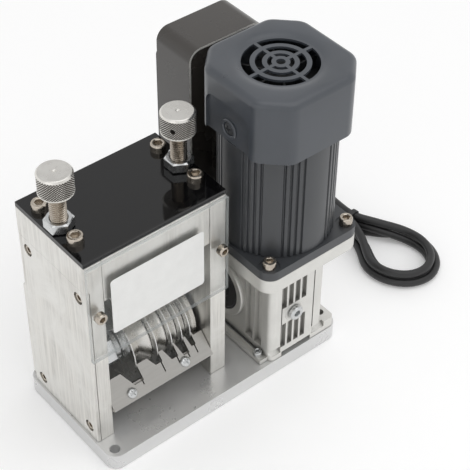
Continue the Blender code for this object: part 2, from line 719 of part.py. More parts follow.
def make_head(aluminium, acrylic, gloss):
    left = wall("left_wall", HEAD_LEFT, LEFT_INNER, aluminium, recess=True)
    right = wall("right_wall", HEAD_RIGHT, RIGHT_INNER, aluminium, recess=False)
    cover = piece("left_cover", box((HEAD_LEFT, HEAD_FRONT, DECK + GAP),
                                    (HEAD_LEFT + COVER_THICKNESS, HEAD_REAR, SEAM_Z)), aluminium)
    sunk = drilled(cover_screw_places(), PAN_HEAD, -COVER_SCREW_SKIN / 2, COVER_THICKNESS)
    cut(cover, "cover_counterbores", sunk)
    fasten(cover, "cover_screws", cover_screw_places(), pan_screw)
    deep = CAP_LENGTH + GAP
    for item, side in ((left, -1), (right, 1)):
        middle = (HEAD_LEFT + HEAD_RIGHT) / 2

        def mine(places):
            return [place for place in places if (place[0][0] - middle) * side > 0]

        cut(item, item.name + "_top_holes", screw_holes(mine(top_screw_places()), CAP_SHANK, deep))
        holes = screw_holes(mine(guard_screw_places()), PAN_SHANK, PAN_LENGTH + GAP)
        cut(item, item.name + "_guard_holes", holes)
        cut(item, item.name + "_inlet_holes", screw_holes(mine(inlet_screw_places()), PAN_SHANK,
                                                          INLET_SCREW_LENGTH + GAP))
    cut(left, "left_wall_cover_holes", screw_holes(cover_screw_places(), PAN_SHANK, PAN_LENGTH + GAP))

    slab = box((HEAD_LEFT, HEAD_FRONT, HEAD_TOP + GAP), (HEAD_RIGHT, HEAD_REAR, PLATE_TOP))
    top = piece("top_plate", slab, gloss)
    bevelled(top, EDGE_BREAK)
    clearance = STUD_RADIUS + SCREW_FIT + GAP
    hole = [(clearance, -OVERRUN), (clearance, TOP_PLATE_THICKNESS + OVERRUN)]
    studs = joined([moved(turned(hole, SMALL_STEPS), Matrix.Translation((x, SHAFT_Y, HEAD_TOP)))
                    for x in (LEFT_KNOB_X, RIGHT_KNOB_X)])
    cut(top, "stud_holes", studs)
    fasten(top, "top_plate_screws", top_screw_places(), cap_screw)

    bar_low = HEAD_TOP - CROSSBAR_HEIGHT
    bar_left = LEFT_INNER + GAP
    bar_right = RIGHT_INNER - GAP
    tab_low = bar_low - CROSSBAR_TAB_DROP
    tab_left = bar_left + CROSSBAR_TAB_WIDTH
    tab_right = bar_right - CROSSBAR_TAB_WIDTH
    outline = [(tab_low, bar_left), (tab_low, tab_left), (bar_low, tab_left), (bar_low, tab_right),
               (tab_low, tab_right), (tab_low, bar_right), (HEAD_TOP, bar_right), (HEAD_TOP, bar_left)]
    piece("front_crossbar", prism(outline, HEAD_FRONT, HEAD_FRONT + CROSSBAR_DEPTH, "Y"), aluminium)
    piece("rear_crossbar", prism(outline, HEAD_REAR - CROSSBAR_DEPTH, HEAD_REAR, "Y"), aluminium)

    guard_low = DECK + GUARD_BOTTOM
    guard = piece("guard_panel", box((HEAD_LEFT, HEAD_FRONT - GAP - GUARD_THICKNESS, guard_low),
                                     (HEAD_RIGHT, HEAD_FRONT - GAP, HEAD_TOP - GUARD_TOP_MARGIN)), acrylic)
    fasten(guard, "guard_screws", guard_screw_places(), pan_screw)


def make_tray(steel, aluminium):
    """The bent-down outlet tray, notched round each blade, and the bar that carries it."""
    left = LEFT_INNER + GAP
    right = RIGHT_INNER - GAP
    outline = [(left, -TRAY_LENGTH), (right, -TRAY_LENGTH), (right, -TRAY_END_STEP),
               (BLADES[0] + 2 * NOTCH_SIDE, -TRAY_END_STEP), (BLADES[0] + 2 * NOTCH_SIDE, 0)]
    for x, width, depth in zip(BLADES, NOTCH_WIDTHS, NOTCH_DEPTHS):
        near = x + NOTCH_SIDE
        far = x - NOTCH_SIDE - width
        tip = x - NOTCH_SIDE - width * NOTCH_TIP_SHARE
        half = SLIT_WIDTH / 2
        outline += [(near, 0), (near, -depth), (x + half, -depth), (x + half, -SLIT_END),
                    (x - half, -SLIT_END), (x - half, -depth), (tip, -depth), (far, 0)]
    outline.append((left, 0))
    frame = tray_frame()
    tray = piece("outlet_tray", moved(prism(outline, -TRAY_THICKNESS, 0), frame), steel)
    fasten(tray, "tray_screws", tray_screw_places(), pan_screw)
    low = -TRAY_THICKNESS - GAP - TRAY_BAR_THICKNESS
    bar_outline = rectangle(left, right, -TRAY_SCREW_ALONG - TRAY_BAR_HALF_WIDTH,
                            -TRAY_SCREW_ALONG + TRAY_BAR_HALF_WIDTH)
    bar = piece("tray_bar", moved(prism(bar_outline, low, -TRAY_THICKNESS - GAP), frame), aluminium)
    cut(bar, "bar_holes", screw_holes(tray_screw_places(), PAN_SHANK, PAN_LENGTH + GAP))


def make_inlet(aluminium):
    low = (HEAD_LEFT + COVER_THICKNESS, HEAD_REAR + GAP, DECK + GAP)
    high = (HEAD_RIGHT, HEAD_REAR + GAP + INLET_THICKNESS, DECK + INLET_HEIGHT)
    plate = piece("inlet_guide", box(low, high), aluminium)
    bevelled(plate, EDGE_BREAK)
    nip = CUTTER_Z + SPACER_RADIUS + (AXIS_DISTANCE - SPACER_RADIUS - ROLLER_RADIUS) / 2
    parts = []
    for x, radius in zip(SPACERS, INLET_HOLES):
        profile = [(radius, -OVERRUN), (radius, INLET_THICKNESS / 2),
                   (radius + INLET_FLARE, INLET_THICKNESS + OVERRUN)]
        parts.append(moved(turned(profile, SMALL_STEPS), along((0, 1, 0), (x, HEAD_REAR + GAP, nip))))
    cut(plate, "wire_holes", joined(parts))
    slot_x = BLADES[-1] - INLET_SLOT_OFFSET
    slot = rounded(rectangle(slot_x - INLET_SLOT_HALF_WIDTH, slot_x + INLET_SLOT_HALF_WIDTH,
                             nip - INLET_SLOT_HALF_HEIGHT, nip + INLET_SLOT_HALF_HEIGHT),
                   INLET_SLOT_HALF_HEIGHT - GAP, 3)
    outline = [(z, x) for x, z in reversed(slot)]
    cut(plate, "flat_cable_slot", prism(outline, HEAD_REAR - OVERRUN, high[1] + OVERRUN, "Y"))
    fasten(plate, "inlet_screws", inlet_screw_places(), lambda: pan_screw(INLET_SCREW_LENGTH))


# Moving pieces of the head

def make_cutter(steel, blade_steel, aluminium, bronze, shaft_axis):
    origin = tuple(shaft_axis.location)
    outer = HEAD_LEFT + COVER_THICKNESS + 2 * GAP
    shoulder = HEAD_RIGHT + OVERRUN
    end = CASE_RIGHT + CASE_COVER_THICKNESS
    profile = [(CUTTER_SHAFT, outer - origin[0]), (CUTTER_SHAFT, shoulder - origin[0]),
               (CUTTER_SHAFT_END, shoulder - origin[0]), (CUTTER_SHAFT_END, end - origin[0])]
    piece("cutter_shaft", moved(turned(profile, ROUND_STEPS), along((1, 0, 0), origin)), steel,
          origin, radians(40), shaft_axis)

    bore = CUTTER_SHAFT + GAP
    half = BLADE_THICKNESS / 2
    for number, x in enumerate(reversed(BLADES), 1):
        profile = [(bore, -half), (BLADE_RADIUS - BLADE_BEVEL, -half), (BLADE_RADIUS, 0),
                   (BLADE_RADIUS - BLADE_BEVEL, half), (bore, half)]
        disc = moved(turned(profile, FINE_STEPS, bored=True), along((1, 0, 0), (x, SHAFT_Y, CUTTER_Z)))
        piece(f"blade_{number}", disc, blade_steel, origin, radians(20), shaft_axis)

    for number, (x, width) in enumerate(reversed(list(zip(SPACERS, SPACER_WIDTHS))), 1):
        side = width / 2
        flat = side - SPACER_RIM
        deep = SPACER_RADIUS - width * SPACER_GROOVE_SHARE
        profile = [(bore, -side), (SPACER_RADIUS, -side), (SPACER_RADIUS, -flat), (deep, 0),
                   (SPACER_RADIUS, flat), (SPACER_RADIUS, side), (bore, side)]
        roller = moved(turned(profile, ROUND_STEPS, bored=True), along((1, 0, 0), (x, SHAFT_Y, CUTTER_Z)))
        piece(f"spacer_{number}", roller, aluminium, origin, radians(30), shaft_axis)

    start = RIGHT_INNER - FLANGE_WALL_GAP - FLANGE_WIDTH
    rib = FLANGE_WIDTH / 4
    low = (FLANGE_RADIUS + SPACER_RADIUS) / 2 - FLANGE_WIDTH / 4
    profile = [(bore, 0), (SPACER_RADIUS, 0), (low, rib), (FLANGE_RADIUS, 2 * rib), (FLANGE_RADIUS, 4 * rib),
               (bore, 4 * rib)]
    flange = turned(profile, ROUND_STEPS, bored=True)
    piece("end_flange", moved(flange, along((1, 0, 0), (start, SHAFT_Y, CUTTER_Z))),
          aluminium, origin, radians(30), shaft_axis)

    steps = ROUND_STEPS
    length = COLLAR_WIDTH + STACK_NUT_WIDTH
    nut = bmesh.new()
    loft(nut, [circle(bore, 0, steps), hexagon(STACK_NUT_RADIUS, 0, steps),
               hexagon(STACK_NUT_RADIUS, STACK_NUT_WIDTH, steps),
               circle(COLLAR_RADIUS, STACK_NUT_WIDTH, steps),
               circle(COLLAR_RADIUS, length, steps), circle(bore, length, steps)], closed=True)
    piece("stack_nut", moved(nut, along((1, 0, 0), (STACK_END - length, SHAFT_Y, CUTTER_Z))),
          steel, origin, radians(30), shaft_axis)
    wheel = piece("worm_wheel", worm_wheel(), bronze, origin, radians(30), shaft_axis)
    low = CASE_LEFT - OUTPUT_BOSS_PROUD + OUTPUT_SEAL_WIDTH + 2 * GAP - MOTOR_X
    high = CASE_RIGHT - MOTOR_X
    hub = WHEEL_HUB - GAP
    join(wheel, "wheel_hub", moved(turned([(hub, low), (hub, high)], ROUND_STEPS), along_x(MOTOR_X)))
    bore = CUTTER_SHAFT_END + WHEEL_HUB_BORE_FIT
    cut(wheel, "wheel_bore", moved(turned([(bore, low - OVERRUN), (bore, high + OVERRUN)], ROUND_STEPS),
                                   along_x(MOTOR_X)))


def tooth_radii(tip, root, tooth_share, flank_share):
    """Radius and place round one pitch of a tooth whose middle lies at the start of the pitch."""
    crest = tooth_share
    foot = tooth_share + flank_share
    return [(-foot, root), (-crest, tip), (crest, tip), (foot, root)]


def worm_wheel():
    """The toothed disc of the wheel, its teeth twisted by the worm's lead angle."""
    pitch_radius = WORM_MODULE * WHEEL_TEETH / 2
    worm_radius = CENTRE_DISTANCE - pitch_radius
    tip = pitch_radius + WORM_ADDENDUM
    root = pitch_radius - WORM_DEDENDUM
    lead = WORM_MODULE / (2 * worm_radius)
    rings = []
    for z in (-WHEEL_WIDTH / 2, WHEEL_WIDTH / 2):
        twist = pi / 2 + z * lead / pitch_radius
        points = []
        for tooth in range(WHEEL_TEETH):
            for share, radius in tooth_radii(tip, root, WHEEL_TOOTH_SHARE, WHEEL_FLANK_SHARE):
                angle = (tooth + share) * 2 * pi / WHEEL_TEETH + twist
                points.append(Vector((radius * cos(angle), radius * sin(angle), z)))
        rings.append(points)
    bm = bmesh.new()
    loft(bm, rings)
    return moved(bm, along_x(MOTOR_X))


def along_x(x):
    """The frame of the cutter shaft at a place along it: Z along the shaft, Y kept."""
    return Matrix.Translation((x, SHAFT_Y, CUTTER_Z)) @ Matrix.Rotation(pi / 2, 4, "Y")


def make_roller(aluminium, roller_axis):
    """The grooved pressure roller with its journals, one turned piece."""
    origin = tuple(roller_axis.location)
    left_face = HEAD_LEFT + CHAMBER_SKIN + GAP + BLOCK_WIDTH
    right_face = HEAD_RIGHT - CHAMBER_SKIN - GAP - BLOCK_WIDTH
    journal_left = left_face - ROLLER_BEARING_WIDTH
    journal_right = right_face + ROLLER_BEARING_WIDTH
    body_left = min(left_face + ROLLER_WALL_GAP, STACK_END - ROLLER_WALL_GAP)
    body_right = right_face - ROLLER_WALL_GAP
    half_groove = BLADE_THICKNESS / 2 + ROLLER_GROOVE_SIDE
    profile = [(ROLLER_SHAFT, journal_left), (ROLLER_SHAFT, body_left),
               (ROLLER_RADIUS - EDGE_BREAK, body_left), (ROLLER_RADIUS, body_left + EDGE_BREAK)]
    for x in reversed(BLADES):
        profile += [(ROLLER_RADIUS, x - half_groove), (ROLLER_GROOVE_RADIUS, x - half_groove),
                    (ROLLER_GROOVE_RADIUS, x + half_groove), (ROLLER_RADIUS, x + half_groove)]
    profile += [(ROLLER_RADIUS, body_right - EDGE_BREAK), (ROLLER_RADIUS - EDGE_BREAK, body_right),
                (ROLLER_SHAFT, body_right), (ROLLER_SHAFT, journal_right)]
    local = [(radius, x - origin[0]) for radius, x in profile]
    piece("feed_roller", moved(turned(local, CORE_STEPS), along((1, 0, 0), origin)), aluminium,
          origin, radians(30), roller_axis)


def make_carriage(steel, carriage):
    """Two bearing blocks that slide in the walls, each with a ball bearing for the roller."""
    for word, outer, side, knob_x in (("left", HEAD_LEFT, 1, LEFT_KNOB_X),
                                      ("right", HEAD_RIGHT, -1, RIGHT_KNOB_X)):
        name = word + "_block"
        near = outer + side * (CHAMBER_SKIN + GAP)
        far = near + side * BLOCK_WIDTH
        xs = sorted((near, far))
        body = box((xs[0], SHAFT_Y - BLOCK_HALF_DEPTH, ROLLER_Z - BLOCK_HALF_HEIGHT),
                   (xs[1], SHAFT_Y + BLOCK_HALF_DEPTH, ROLLER_Z + BLOCK_HALF_HEIGHT))
        block = piece(name, body, steel, tuple(carriage.location), carrier=carriage)
        seat = ROLLER_BEARING + GAP
        bore = turned([(seat, 0), (seat, ROLLER_BEARING_WIDTH + GAP + OVERRUN)], ROUND_STEPS)
        mouth = (far + side * OVERRUN, SHAFT_Y, ROLLER_Z)
        cut(block, name + "_seat", moved(bore, along((-side, 0, 0), mouth)))
        top = ROLLER_Z + BLOCK_HALF_HEIGHT
        seat = STUD_RADIUS + SCREW_FIT
        tip = turned([(seat, -STUD_SEAT_DEPTH - GAP), (seat, OVERRUN)], SMALL_STEPS)
        cut(block, name + "_stud_seat", moved(tip, Matrix.Translation((knob_x, SHAFT_Y, top))))
        race = ring(ROLLER_BEARING, ROLLER_SHAFT + RUNNING_FIT, ROLLER_BEARING_WIDTH, BEARING_STEPS)
        piece(word + "_roller_bearing", moved(race, along((-side, 0, 0), (far, SHAFT_Y, ROLLER_Z))), steel,
              tuple(carriage.location), radians(40), carriage)


def turned_knob():
    """Turned knob on Z = 0 with a chamfer at each end and a blind bore below."""
    bore = STUD_RADIUS + GAP
    edge = KNOB_RADIUS - KNOB_CHAMFER
    return turned([(bore, KNOB_STUD_DEPTH), (bore, 0), (edge, 0), (KNOB_RADIUS, KNOB_CHAMFER),
                   (KNOB_RADIUS, KNOB_HEIGHT - KNOB_CHAMFER), (edge, KNOB_HEIGHT)], FINE_STEPS)


def make_adjusters(aluminium, zinc, left_axis, right_axis):
    bottom = ROLLER_Z + BLOCK_HALF_HEIGHT - STUD_SEAT_DEPTH
    for side, carrier, x in (("left", left_axis, LEFT_KNOB_X), ("right", right_axis, RIGHT_KNOB_X)):
        origin = tuple(carrier.location)
        at = Matrix.Translation((x, SHAFT_Y, 0))
        stud = turned([(STUD_RADIUS - EDGE_BREAK, bottom), (STUD_RADIUS, bottom + EDGE_BREAK),
                       (STUD_RADIUS, KNOB_Z + KNOB_STUD_DEPTH - GAP)], SMALL_STEPS)
        piece(side + "_stud", moved(stud, at), zinc, origin, radians(40), carrier)
        knob = moved(turned_knob(), Matrix.Translation((x, SHAFT_Y, KNOB_Z)))
        item = piece(side + "_knob", knob, aluminium, origin, radians(40), carrier)
        hole = turned([(KNOB_HOLE, -KNOB_HOLE_DEPTH), (KNOB_HOLE, OVERRUN)], PIN_STEPS)
        mouth = (x, SHAFT_Y - KNOB_RADIUS, KNOB_Z + KNOB_HEIGHT / 2)
        cut(item, side + "_knob_hole", moved(hole, along((0, -1, 0), mouth)))
        flat = NUT_ACROSS_FLATS / 2
        bore = STUD_RADIUS + SCREW_FIT + GAP
        nut = bmesh.new()
        steps = SMALL_STEPS
        loft(nut, [circle(bore, 0, steps), circle(flat, 0, steps), hexagon(flat, NUT_CHAMFER, steps),
                   hexagon(flat, NUT_HEIGHT - NUT_CHAMFER, steps), circle(flat, NUT_HEIGHT, steps),
                   circle(bore, NUT_HEIGHT, steps)], closed=True)
        centre = (x, SHAFT_Y, PLATE_TOP + GAP)
        nut_axis = axis_empty(side + "_nut_axis", centre)
        piece(side + "_lock_nut", moved(nut, Matrix.Translation(centre)), zinc, centre, radians(30), nut_axis)


# Gearbox

def panel_slots(low, high, z0, z1, count):
    """Spaces between the ribs of a recessed panel, as (start, end, bottom, top) along the panel."""
    pitch = (high - low + RIB_THICKNESS) / count
    return [(low + k * pitch, low + (k + 1) * pitch - RIB_THICKNESS, z0, z1) for k in range(count)]


def make_gearbox(cast, rubber, zinc):
    floor = DECK + GAP
    outline = rounded(rectangle(CASE_LEFT, CASE_RIGHT, CASE_FRONT_Y, CASE_REAR_Y), CASE_CORNER, 3)
    case = piece("gearbox_case", prism(outline, floor, CASE_TOP_Z), cast, smooth=radians(30))

    feet = joined([box((CASE_LEFT - OVERRUN, CASE_FRONT_Y + CASE_FOOT_LENGTH, floor - OVERRUN),
                       (CASE_RIGHT + OVERRUN, CASE_REAR_Y - CASE_FOOT_LENGTH, floor + CASE_FOOT))])
    cut(case, "foot_gap_along", feet)
    low = (CASE_LEFT + CASE_FOOT_LENGTH, CASE_FRONT_Y - OVERRUN, floor - OVERRUN)
    high = (CASE_RIGHT - CASE_FOOT_LENGTH, CASE_REAR_Y + OVERRUN, floor + CASE_FOOT)
    cut(case, "foot_gap_across", box(low, high))

    panel_low = CASE_LEFT + POST_WIDTH_LEFT
    panel_high = CASE_RIGHT - POST_WIDTH_RIGHT
    bottom = floor + CASE_FOOT + PANEL_MARGIN
    top = CASE_TOP_Z - PANEL_MARGIN
    plug_z = CUTTER_Z
    slots = []
    for x0, x1, z0, z1 in (panel_slots(panel_low, panel_high, bottom, plug_z - PLUG_BOSS, RIB_COUNT)
                           + panel_slots(panel_low, panel_high, plug_z + PLUG_BOSS, top, RIB_COUNT)):
        slots.append(box((x0, CASE_FRONT_Y - OVERRUN, z0), (x1, CASE_FRONT_Y + RIB_DEPTH, z1)))
    for face, sign in ((CASE_LEFT, 1), (CASE_RIGHT, -1)):
        xs = sorted((face - sign * OVERRUN, face + sign * RIB_DEPTH))
        front = CASE_FRONT_Y + POST_WIDTH_LEFT
        rear = SHAFT_Y - OUTPUT_BOSS - RIB_THICKNESS
        for y0, y1, z0, z1 in (panel_slots(front, rear, bottom, top, 2)
                               + panel_slots(SHAFT_Y + OUTPUT_BOSS + RIB_THICKNESS,
                                             CASE_REAR_Y - RIB_THICKNESS, bottom, top, 1)):
            slots.append(box((xs[0], y0, z0), (xs[1], y1, z1)))
    cut(case, "case_ribs", joined(slots))

    inset = CORNER_POCKET_INSET
    pockets = []
    for z in (floor + CASE_FOOT + inset, CASE_TOP_Z - inset):
        for face, sign in ((CASE_LEFT, 1), (CASE_RIGHT, -1)):
            centre = (face + sign * CORNER_POCKET_LENGTH / 2, CASE_FRONT_Y, z)
            pocket = turned([(CORNER_POCKET, -CORNER_POCKET_LENGTH), (CORNER_POCKET, CORNER_POCKET_LENGTH)],
                            PIN_STEPS)
            pockets.append(moved(pocket, along((sign, 0, 0), centre)))
    cut(case, "corner_pockets", joined(pockets))

    boss = turned([(OUTPUT_BOSS, 0), (OUTPUT_BOSS, OUTPUT_BOSS_PROUD + OVERRUN)], FINE_STEPS)
    boss_start = (CASE_LEFT + OVERRUN, SHAFT_Y, CUTTER_Z)
    join(case, "output_boss", moved(boss, along((-1, 0, 0), boss_start)))
    plug_boss = turned([(PLUG_BOSS, 0), (PLUG_BOSS, OVERRUN + GAP)], CORE_STEPS)
    join(case, "plug_boss", moved(plug_boss, along((0, -1, 0), ((panel_low + panel_high) / 2,
                                                              CASE_FRONT_Y + OVERRUN, plug_z))))

    face = CASE_LEFT - OUTPUT_BOSS_PROUD
    hub = WHEEL_HUB + RUNNING_FIT
    seal_seat = [(OUTPUT_SEAL + GAP, 0), (OUTPUT_SEAL + GAP, OVERRUN + OUTPUT_SEAL_WIDTH),
                 (hub, OVERRUN + OUTPUT_SEAL_WIDTH), (hub, OVERRUN + OUTPUT_BOSS_PROUD + CASE_SKIN),
                 (WHEEL_CHAMBER, OVERRUN + OUTPUT_BOSS_PROUD + CASE_SKIN),
                 (WHEEL_CHAMBER, OVERRUN + OUTPUT_BOSS_PROUD + CASE_WIDTH + OVERRUN)]
    cut(case, "wheel_chamber", moved(turned(seal_seat, FINE_STEPS),
                                     along((1, 0, 0), (face - OVERRUN, SHAFT_Y, CUTTER_Z))))
    barrel = turned([(WORM_CHAMBER, 0), (WORM_CHAMBER, CASE_TOP)], CORE_STEPS)
    cut(case, "worm_chamber", moved(barrel, Matrix.Translation((MOTOR_X, MOTOR_Y, floor + CASE_SKIN))))
    cut(case, "case_cover_holes", screw_holes(case_cover_screw_places(), PAN_SHANK, PAN_LENGTH + GAP))
    shank = PAN_SHANK + SCREW_FIT
    plug_hole = turned([(shank, 0), (shank, RIB_DEPTH + OVERRUN)], SMALL_STEPS)
    cut(case, "plug_hole", moved(plug_hole, along((0, 1, 0), ((panel_low + panel_high) / 2,
                                                            CASE_FRONT_Y - OVERRUN, plug_z))))

    cover_x = CASE_RIGHT + GAP
    spigot = WHEEL_CHAMBER - GAP
    cover = turned([(hub, -CASE_COVER_SPIGOT), (spigot, -CASE_COVER_SPIGOT), (spigot, 0),
                    (CASE_COVER_RADIUS, 0), (CASE_COVER_RADIUS, CASE_COVER_THICKNESS),
                    (hub, CASE_COVER_THICKNESS)], FINE_STEPS, bored=True)
    lid = piece("gearbox_cover", moved(cover, along((1, 0, 0), (cover_x, SHAFT_Y, CUTTER_Z))), cast,
                smooth=radians(30))
    fasten(lid, "gearbox_cover_screws", case_cover_screw_places(), pan_screw)

    seal = ring(OUTPUT_SEAL, CUTTER_SHAFT_END + RUNNING_FIT, OUTPUT_SEAL_WIDTH - GAP, BEARING_STEPS)
    piece("output_seal", moved(seal, along((1, 0, 0), (face, SHAFT_Y, CUTTER_Z))), rubber, smooth=radians(30))

    plug = bmesh.new()
    steps = SMALL_STEPS
    loft(plug, [circle(PAN_SHANK, -RIB_DEPTH + GAP, steps), circle(PAN_SHANK, 0, steps),
                circle(PLUG_RADIUS, 0, steps), circle(PLUG_RADIUS, PLUG_PROUD - HEAD_CHAMFER, steps),
                circle(PLUG_RADIUS - HEAD_CHAMFER, PLUG_PROUD, steps), hexagon(CAP_HEX, PLUG_PROUD, steps),
                hexagon(CAP_HEX, PLUG_PROUD - CAP_DRIVE_DEPTH, steps)])
    centre = ((panel_low + panel_high) / 2, CASE_FRONT_Y - 2 * GAP, plug_z)
    piece("oil_plug", moved(plug, along((0, -1, 0), centre)), zinc, smooth=radians(40))


def join(item, name, bm):
    """Adds a volume to a piece as one body with it."""
    tool = shape(name, bm)
    tool.hide_render = True
    tool.display_type = "WIRE"
    modifier = item.modifiers.new(name, "BOOLEAN")
    modifier.operation = "UNION"
    modifier.object = tool


def make_bearings(steel):
    """Ball bearings of the cutter shaft in the walls, each drawn as one closed ring."""
    for name, x in (("left_shaft_bearing", LEFT_INNER - MAIN_BEARING_WIDTH),
                    ("right_shaft_bearing", RIGHT_INNER)):
        race = ring(MAIN_BEARING, CUTTER_SHAFT + RUNNING_FIT, MAIN_BEARING_WIDTH, BEARING_STEPS)
        piece(name, moved(race, along((1, 0, 0), (x, SHAFT_Y, CUTTER_Z))), steel, smooth=radians(40))


# Motor

def make_motor(cast, dark, copper):
    side = FLANGE_SIDE / 2
    corners = rectangle(MOTOR_X - side, MOTOR_X + side, MOTOR_Y - side, MOTOR_Y + side)
    square = rounded(corners, FLANGE_CORNER, 3)
    adapter = piece("adapter_flange", prism(square, ADAPTER_Z, ADAPTER_Z + ADAPTER_THICKNESS), cast,
                    smooth=radians(30))
    plate = prism(square, MOTOR_FLANGE_Z, MOTOR_FLANGE_Z + MOTOR_FLANGE_THICKNESS)
    flange = piece("motor_flange", plate, dark, smooth=radians(30))
    at = Matrix.Translation((MOTOR_X, MOTOR_Y, 0))
    neck = turned([(WORM_CHAMBER, ADAPTER_Z - OVERRUN), (WORM_CHAMBER, MOTOR_FLANGE_Z + OVERRUN)], CORE_STEPS)
    cut(adapter, "adapter_bore", moved(neck, at))
    bearing = MOTOR_SHAFT + RUNNING_FIT
    seat = turned([(bearing, MOTOR_FLANGE_Z - OVERRUN), (bearing, MOTOR_Z + OVERRUN)], CORE_STEPS)
    cut(flange, "flange_bore", moved(seat, at))
    long_bolt = MOTOR_FLANGE_THICKNESS + ADAPTER_THICKNESS / 2
    cut(adapter, "adapter_holes", screw_holes(motor_bolt_places(), CAP_SHANK, long_bolt + GAP))
    fasten(flange, "motor_bolts", motor_bolt_places(), lambda: cap_screw(long_bolt))

    body = piece("motor_body", moved(prism(motor_outline(), MOTOR_Z, COWL_Z), at), dark, smooth=radians(30))
    bore = MOTOR_RADIUS - MOTOR_WALL
    hollow = turned([(bore, MOTOR_Z - OVERRUN), (bore, COWL_Z - MOTOR_SHIELD),
                     (bearing, COWL_Z - MOTOR_SHIELD), (bearing, COWL_Z + OVERRUN)], FINE_STEPS)
    cut(body, "motor_hollow", moved(hollow, at))

    low = MOTOR_Z + STATOR_LIFT
    stator = turned([(STATOR_BORE, low), (bore - 2 * GAP, low), (bore - 2 * GAP, low + STATOR_HEIGHT),
                     (STATOR_BORE, low + STATOR_HEIGHT)], CORE_STEPS, bored=True)
    piece("stator", moved(stator, at), copper, smooth=radians(30))


def motor_outline():
    """Section of the finned motor body: smooth arcs with eight groups of narrow flutes."""
    points = []
    half = MOTOR_GROOVE_PITCH * MOTOR_GROOVE_SHARE / 2
    for quarter in range(4):
        for sign in (-1, 1):
            centre = quarter * pi / 2 + sign * MOTOR_GROOVE_CENTRE
            first = centre - MOTOR_GROOVE_PITCH * (MOTOR_GROOVES - 1) / 2
            for k in range(MOTOR_GROOVES):
                middle = first + k * MOTOR_GROOVE_PITCH
                points += [(MOTOR_RADIUS, middle - half), (MOTOR_RADIUS - MOTOR_GROOVE_DEPTH, middle),
                           (MOTOR_RADIUS, middle + half)]
            if sign > 0:
                points += [(MOTOR_RADIUS, quarter * pi / 2 + pi / 4 + offset)
                           for offset in (-MOTOR_GROOVE_PITCH / 2, MOTOR_GROOVE_PITCH / 2)]
            else:
                points += [(MOTOR_RADIUS, quarter * pi / 2 + offset)
                           for offset in (-MOTOR_GROOVE_PITCH, 0, MOTOR_GROOVE_PITCH)]
    return [(radius * cos(angle), radius * sin(angle)) for radius, angle in points]


def make_rotor(steel, iron, nylon, rotor_axis):
    origin = tuple(rotor_axis.location)
    at = Matrix.Translation((MOTOR_X, MOTOR_Y, 0))
    fan_top = COWL_TOP_Z - COWL_WALL - FAN_TOP_GAP
    fan_low = fan_top - FAN_HEIGHT
    worm_low = DECK + GAP + CASE_SKIN + GAP
    worm_high = ADAPTER_Z + ADAPTER_THICKNESS
    piece("worm", moved(worm(worm_low, worm_high - GAP), at), steel, origin, radians(30), rotor_axis)

    low = MOTOR_Z + STATOR_LIFT + (STATOR_HEIGHT - ROTOR_HEIGHT) / 2
    profile = [(WORM_SHAFT, worm_low + GAP), (WORM_SHAFT, worm_high + GAP), (MOTOR_SHAFT, worm_high + GAP),
               (MOTOR_SHAFT, low), (ROTOR_RADIUS, low), (ROTOR_RADIUS, low + ROTOR_HEIGHT),
               (MOTOR_SHAFT, low + ROTOR_HEIGHT), (MOTOR_SHAFT, fan_top)]
    piece("rotor", moved(turned(profile, CORE_STEPS), at), iron, origin, radians(40), rotor_axis)

    bore = MOTOR_SHAFT + GAP
    profile = [(bore, fan_low), (FAN_RADIUS, fan_low), (FAN_RADIUS, fan_low + FAN_DISC),
               (FAN_HUB, fan_low + FAN_DISC), (FAN_HUB, fan_top), (bore, fan_top)]
    disc = moved(turned(profile, CORE_STEPS, bored=True), at)
    fan = piece("fan", disc, nylon, origin, radians(40), rotor_axis)
    blades = []
    for k in range(FAN_BLADES):
        vane = box((FAN_HUB - FAN_BLADE_THICKNESS, -FAN_BLADE_THICKNESS / 2, fan_low + FAN_DISC / 2),
                   (FAN_RADIUS - FAN_BLADE_THICKNESS, FAN_BLADE_THICKNESS / 2, fan_top - FAN_DISC))
        blades.append(moved(vane, at @ Matrix.Rotation(2 * pi * k / FAN_BLADES, 4, "Z")))
    join(fan, "fan_vanes", joined(blades))


def worm(low, high):
    """Hollow worm shaft with a right-hand thread cut opposite the wheel."""
    pitch = pi * WORM_MODULE
    pitch_radius = CENTRE_DISTANCE - WORM_MODULE * WHEEL_TEETH / 2
    tip = pitch_radius + WORM_ADDENDUM
    root = pitch_radius - WORM_DEDENDUM
    bore = WORM_SHAFT + GAP
    steps = SMALL_STEPS
    start = CUTTER_Z - WORM_TURNS * pitch / 2
    end = CUTTER_Z + WORM_TURNS * pitch / 2
    rows = [[] for _ in range(4 * (WORM_TURNS + 2))]
    for j in range(steps):
        angle = 2 * pi * j / steps + pi / 2
        row = 0
        for turn in range(WORM_TURNS + 2):
            for share, radius in tooth_radii(tip, root, WORM_TOOTH_SHARE, WORM_FLANK_SHARE):
                height = start + (turn - 1 + j / steps + share) * pitch
                reach = radius if start < height < end else root
                height = max(start, min(end, height))
                rows[row].append(Vector((reach * cos(angle), reach * sin(angle), height)))
                row += 1
    bm = bmesh.new()
    grid = [[bm.verts.new(point) for point in points] for points in rows]
    turn = len(tooth_radii(tip, root, WORM_TOOTH_SHARE, WORM_FLANK_SHARE))
    for r in range(len(grid) - 1):
        for j in range(steps - 1):
            bm.faces.new((grid[r][j], grid[r][j + 1], grid[r + 1][j + 1], grid[r + 1][j]))
        if r + turn + 1 < len(grid):
            bm.faces.new((grid[r][steps - 1], grid[r + turn][0], grid[r + turn + 1][0],
                          grid[r + 1][steps - 1]))
    ends = ((root, start), (root, low), (bore, low), (bore, high), (root, high), (root, end))
    loft(bm, [circle(radius, height, steps, pi / 2) for radius, height in ends], capped=False)
    return bm


# Fan cowl

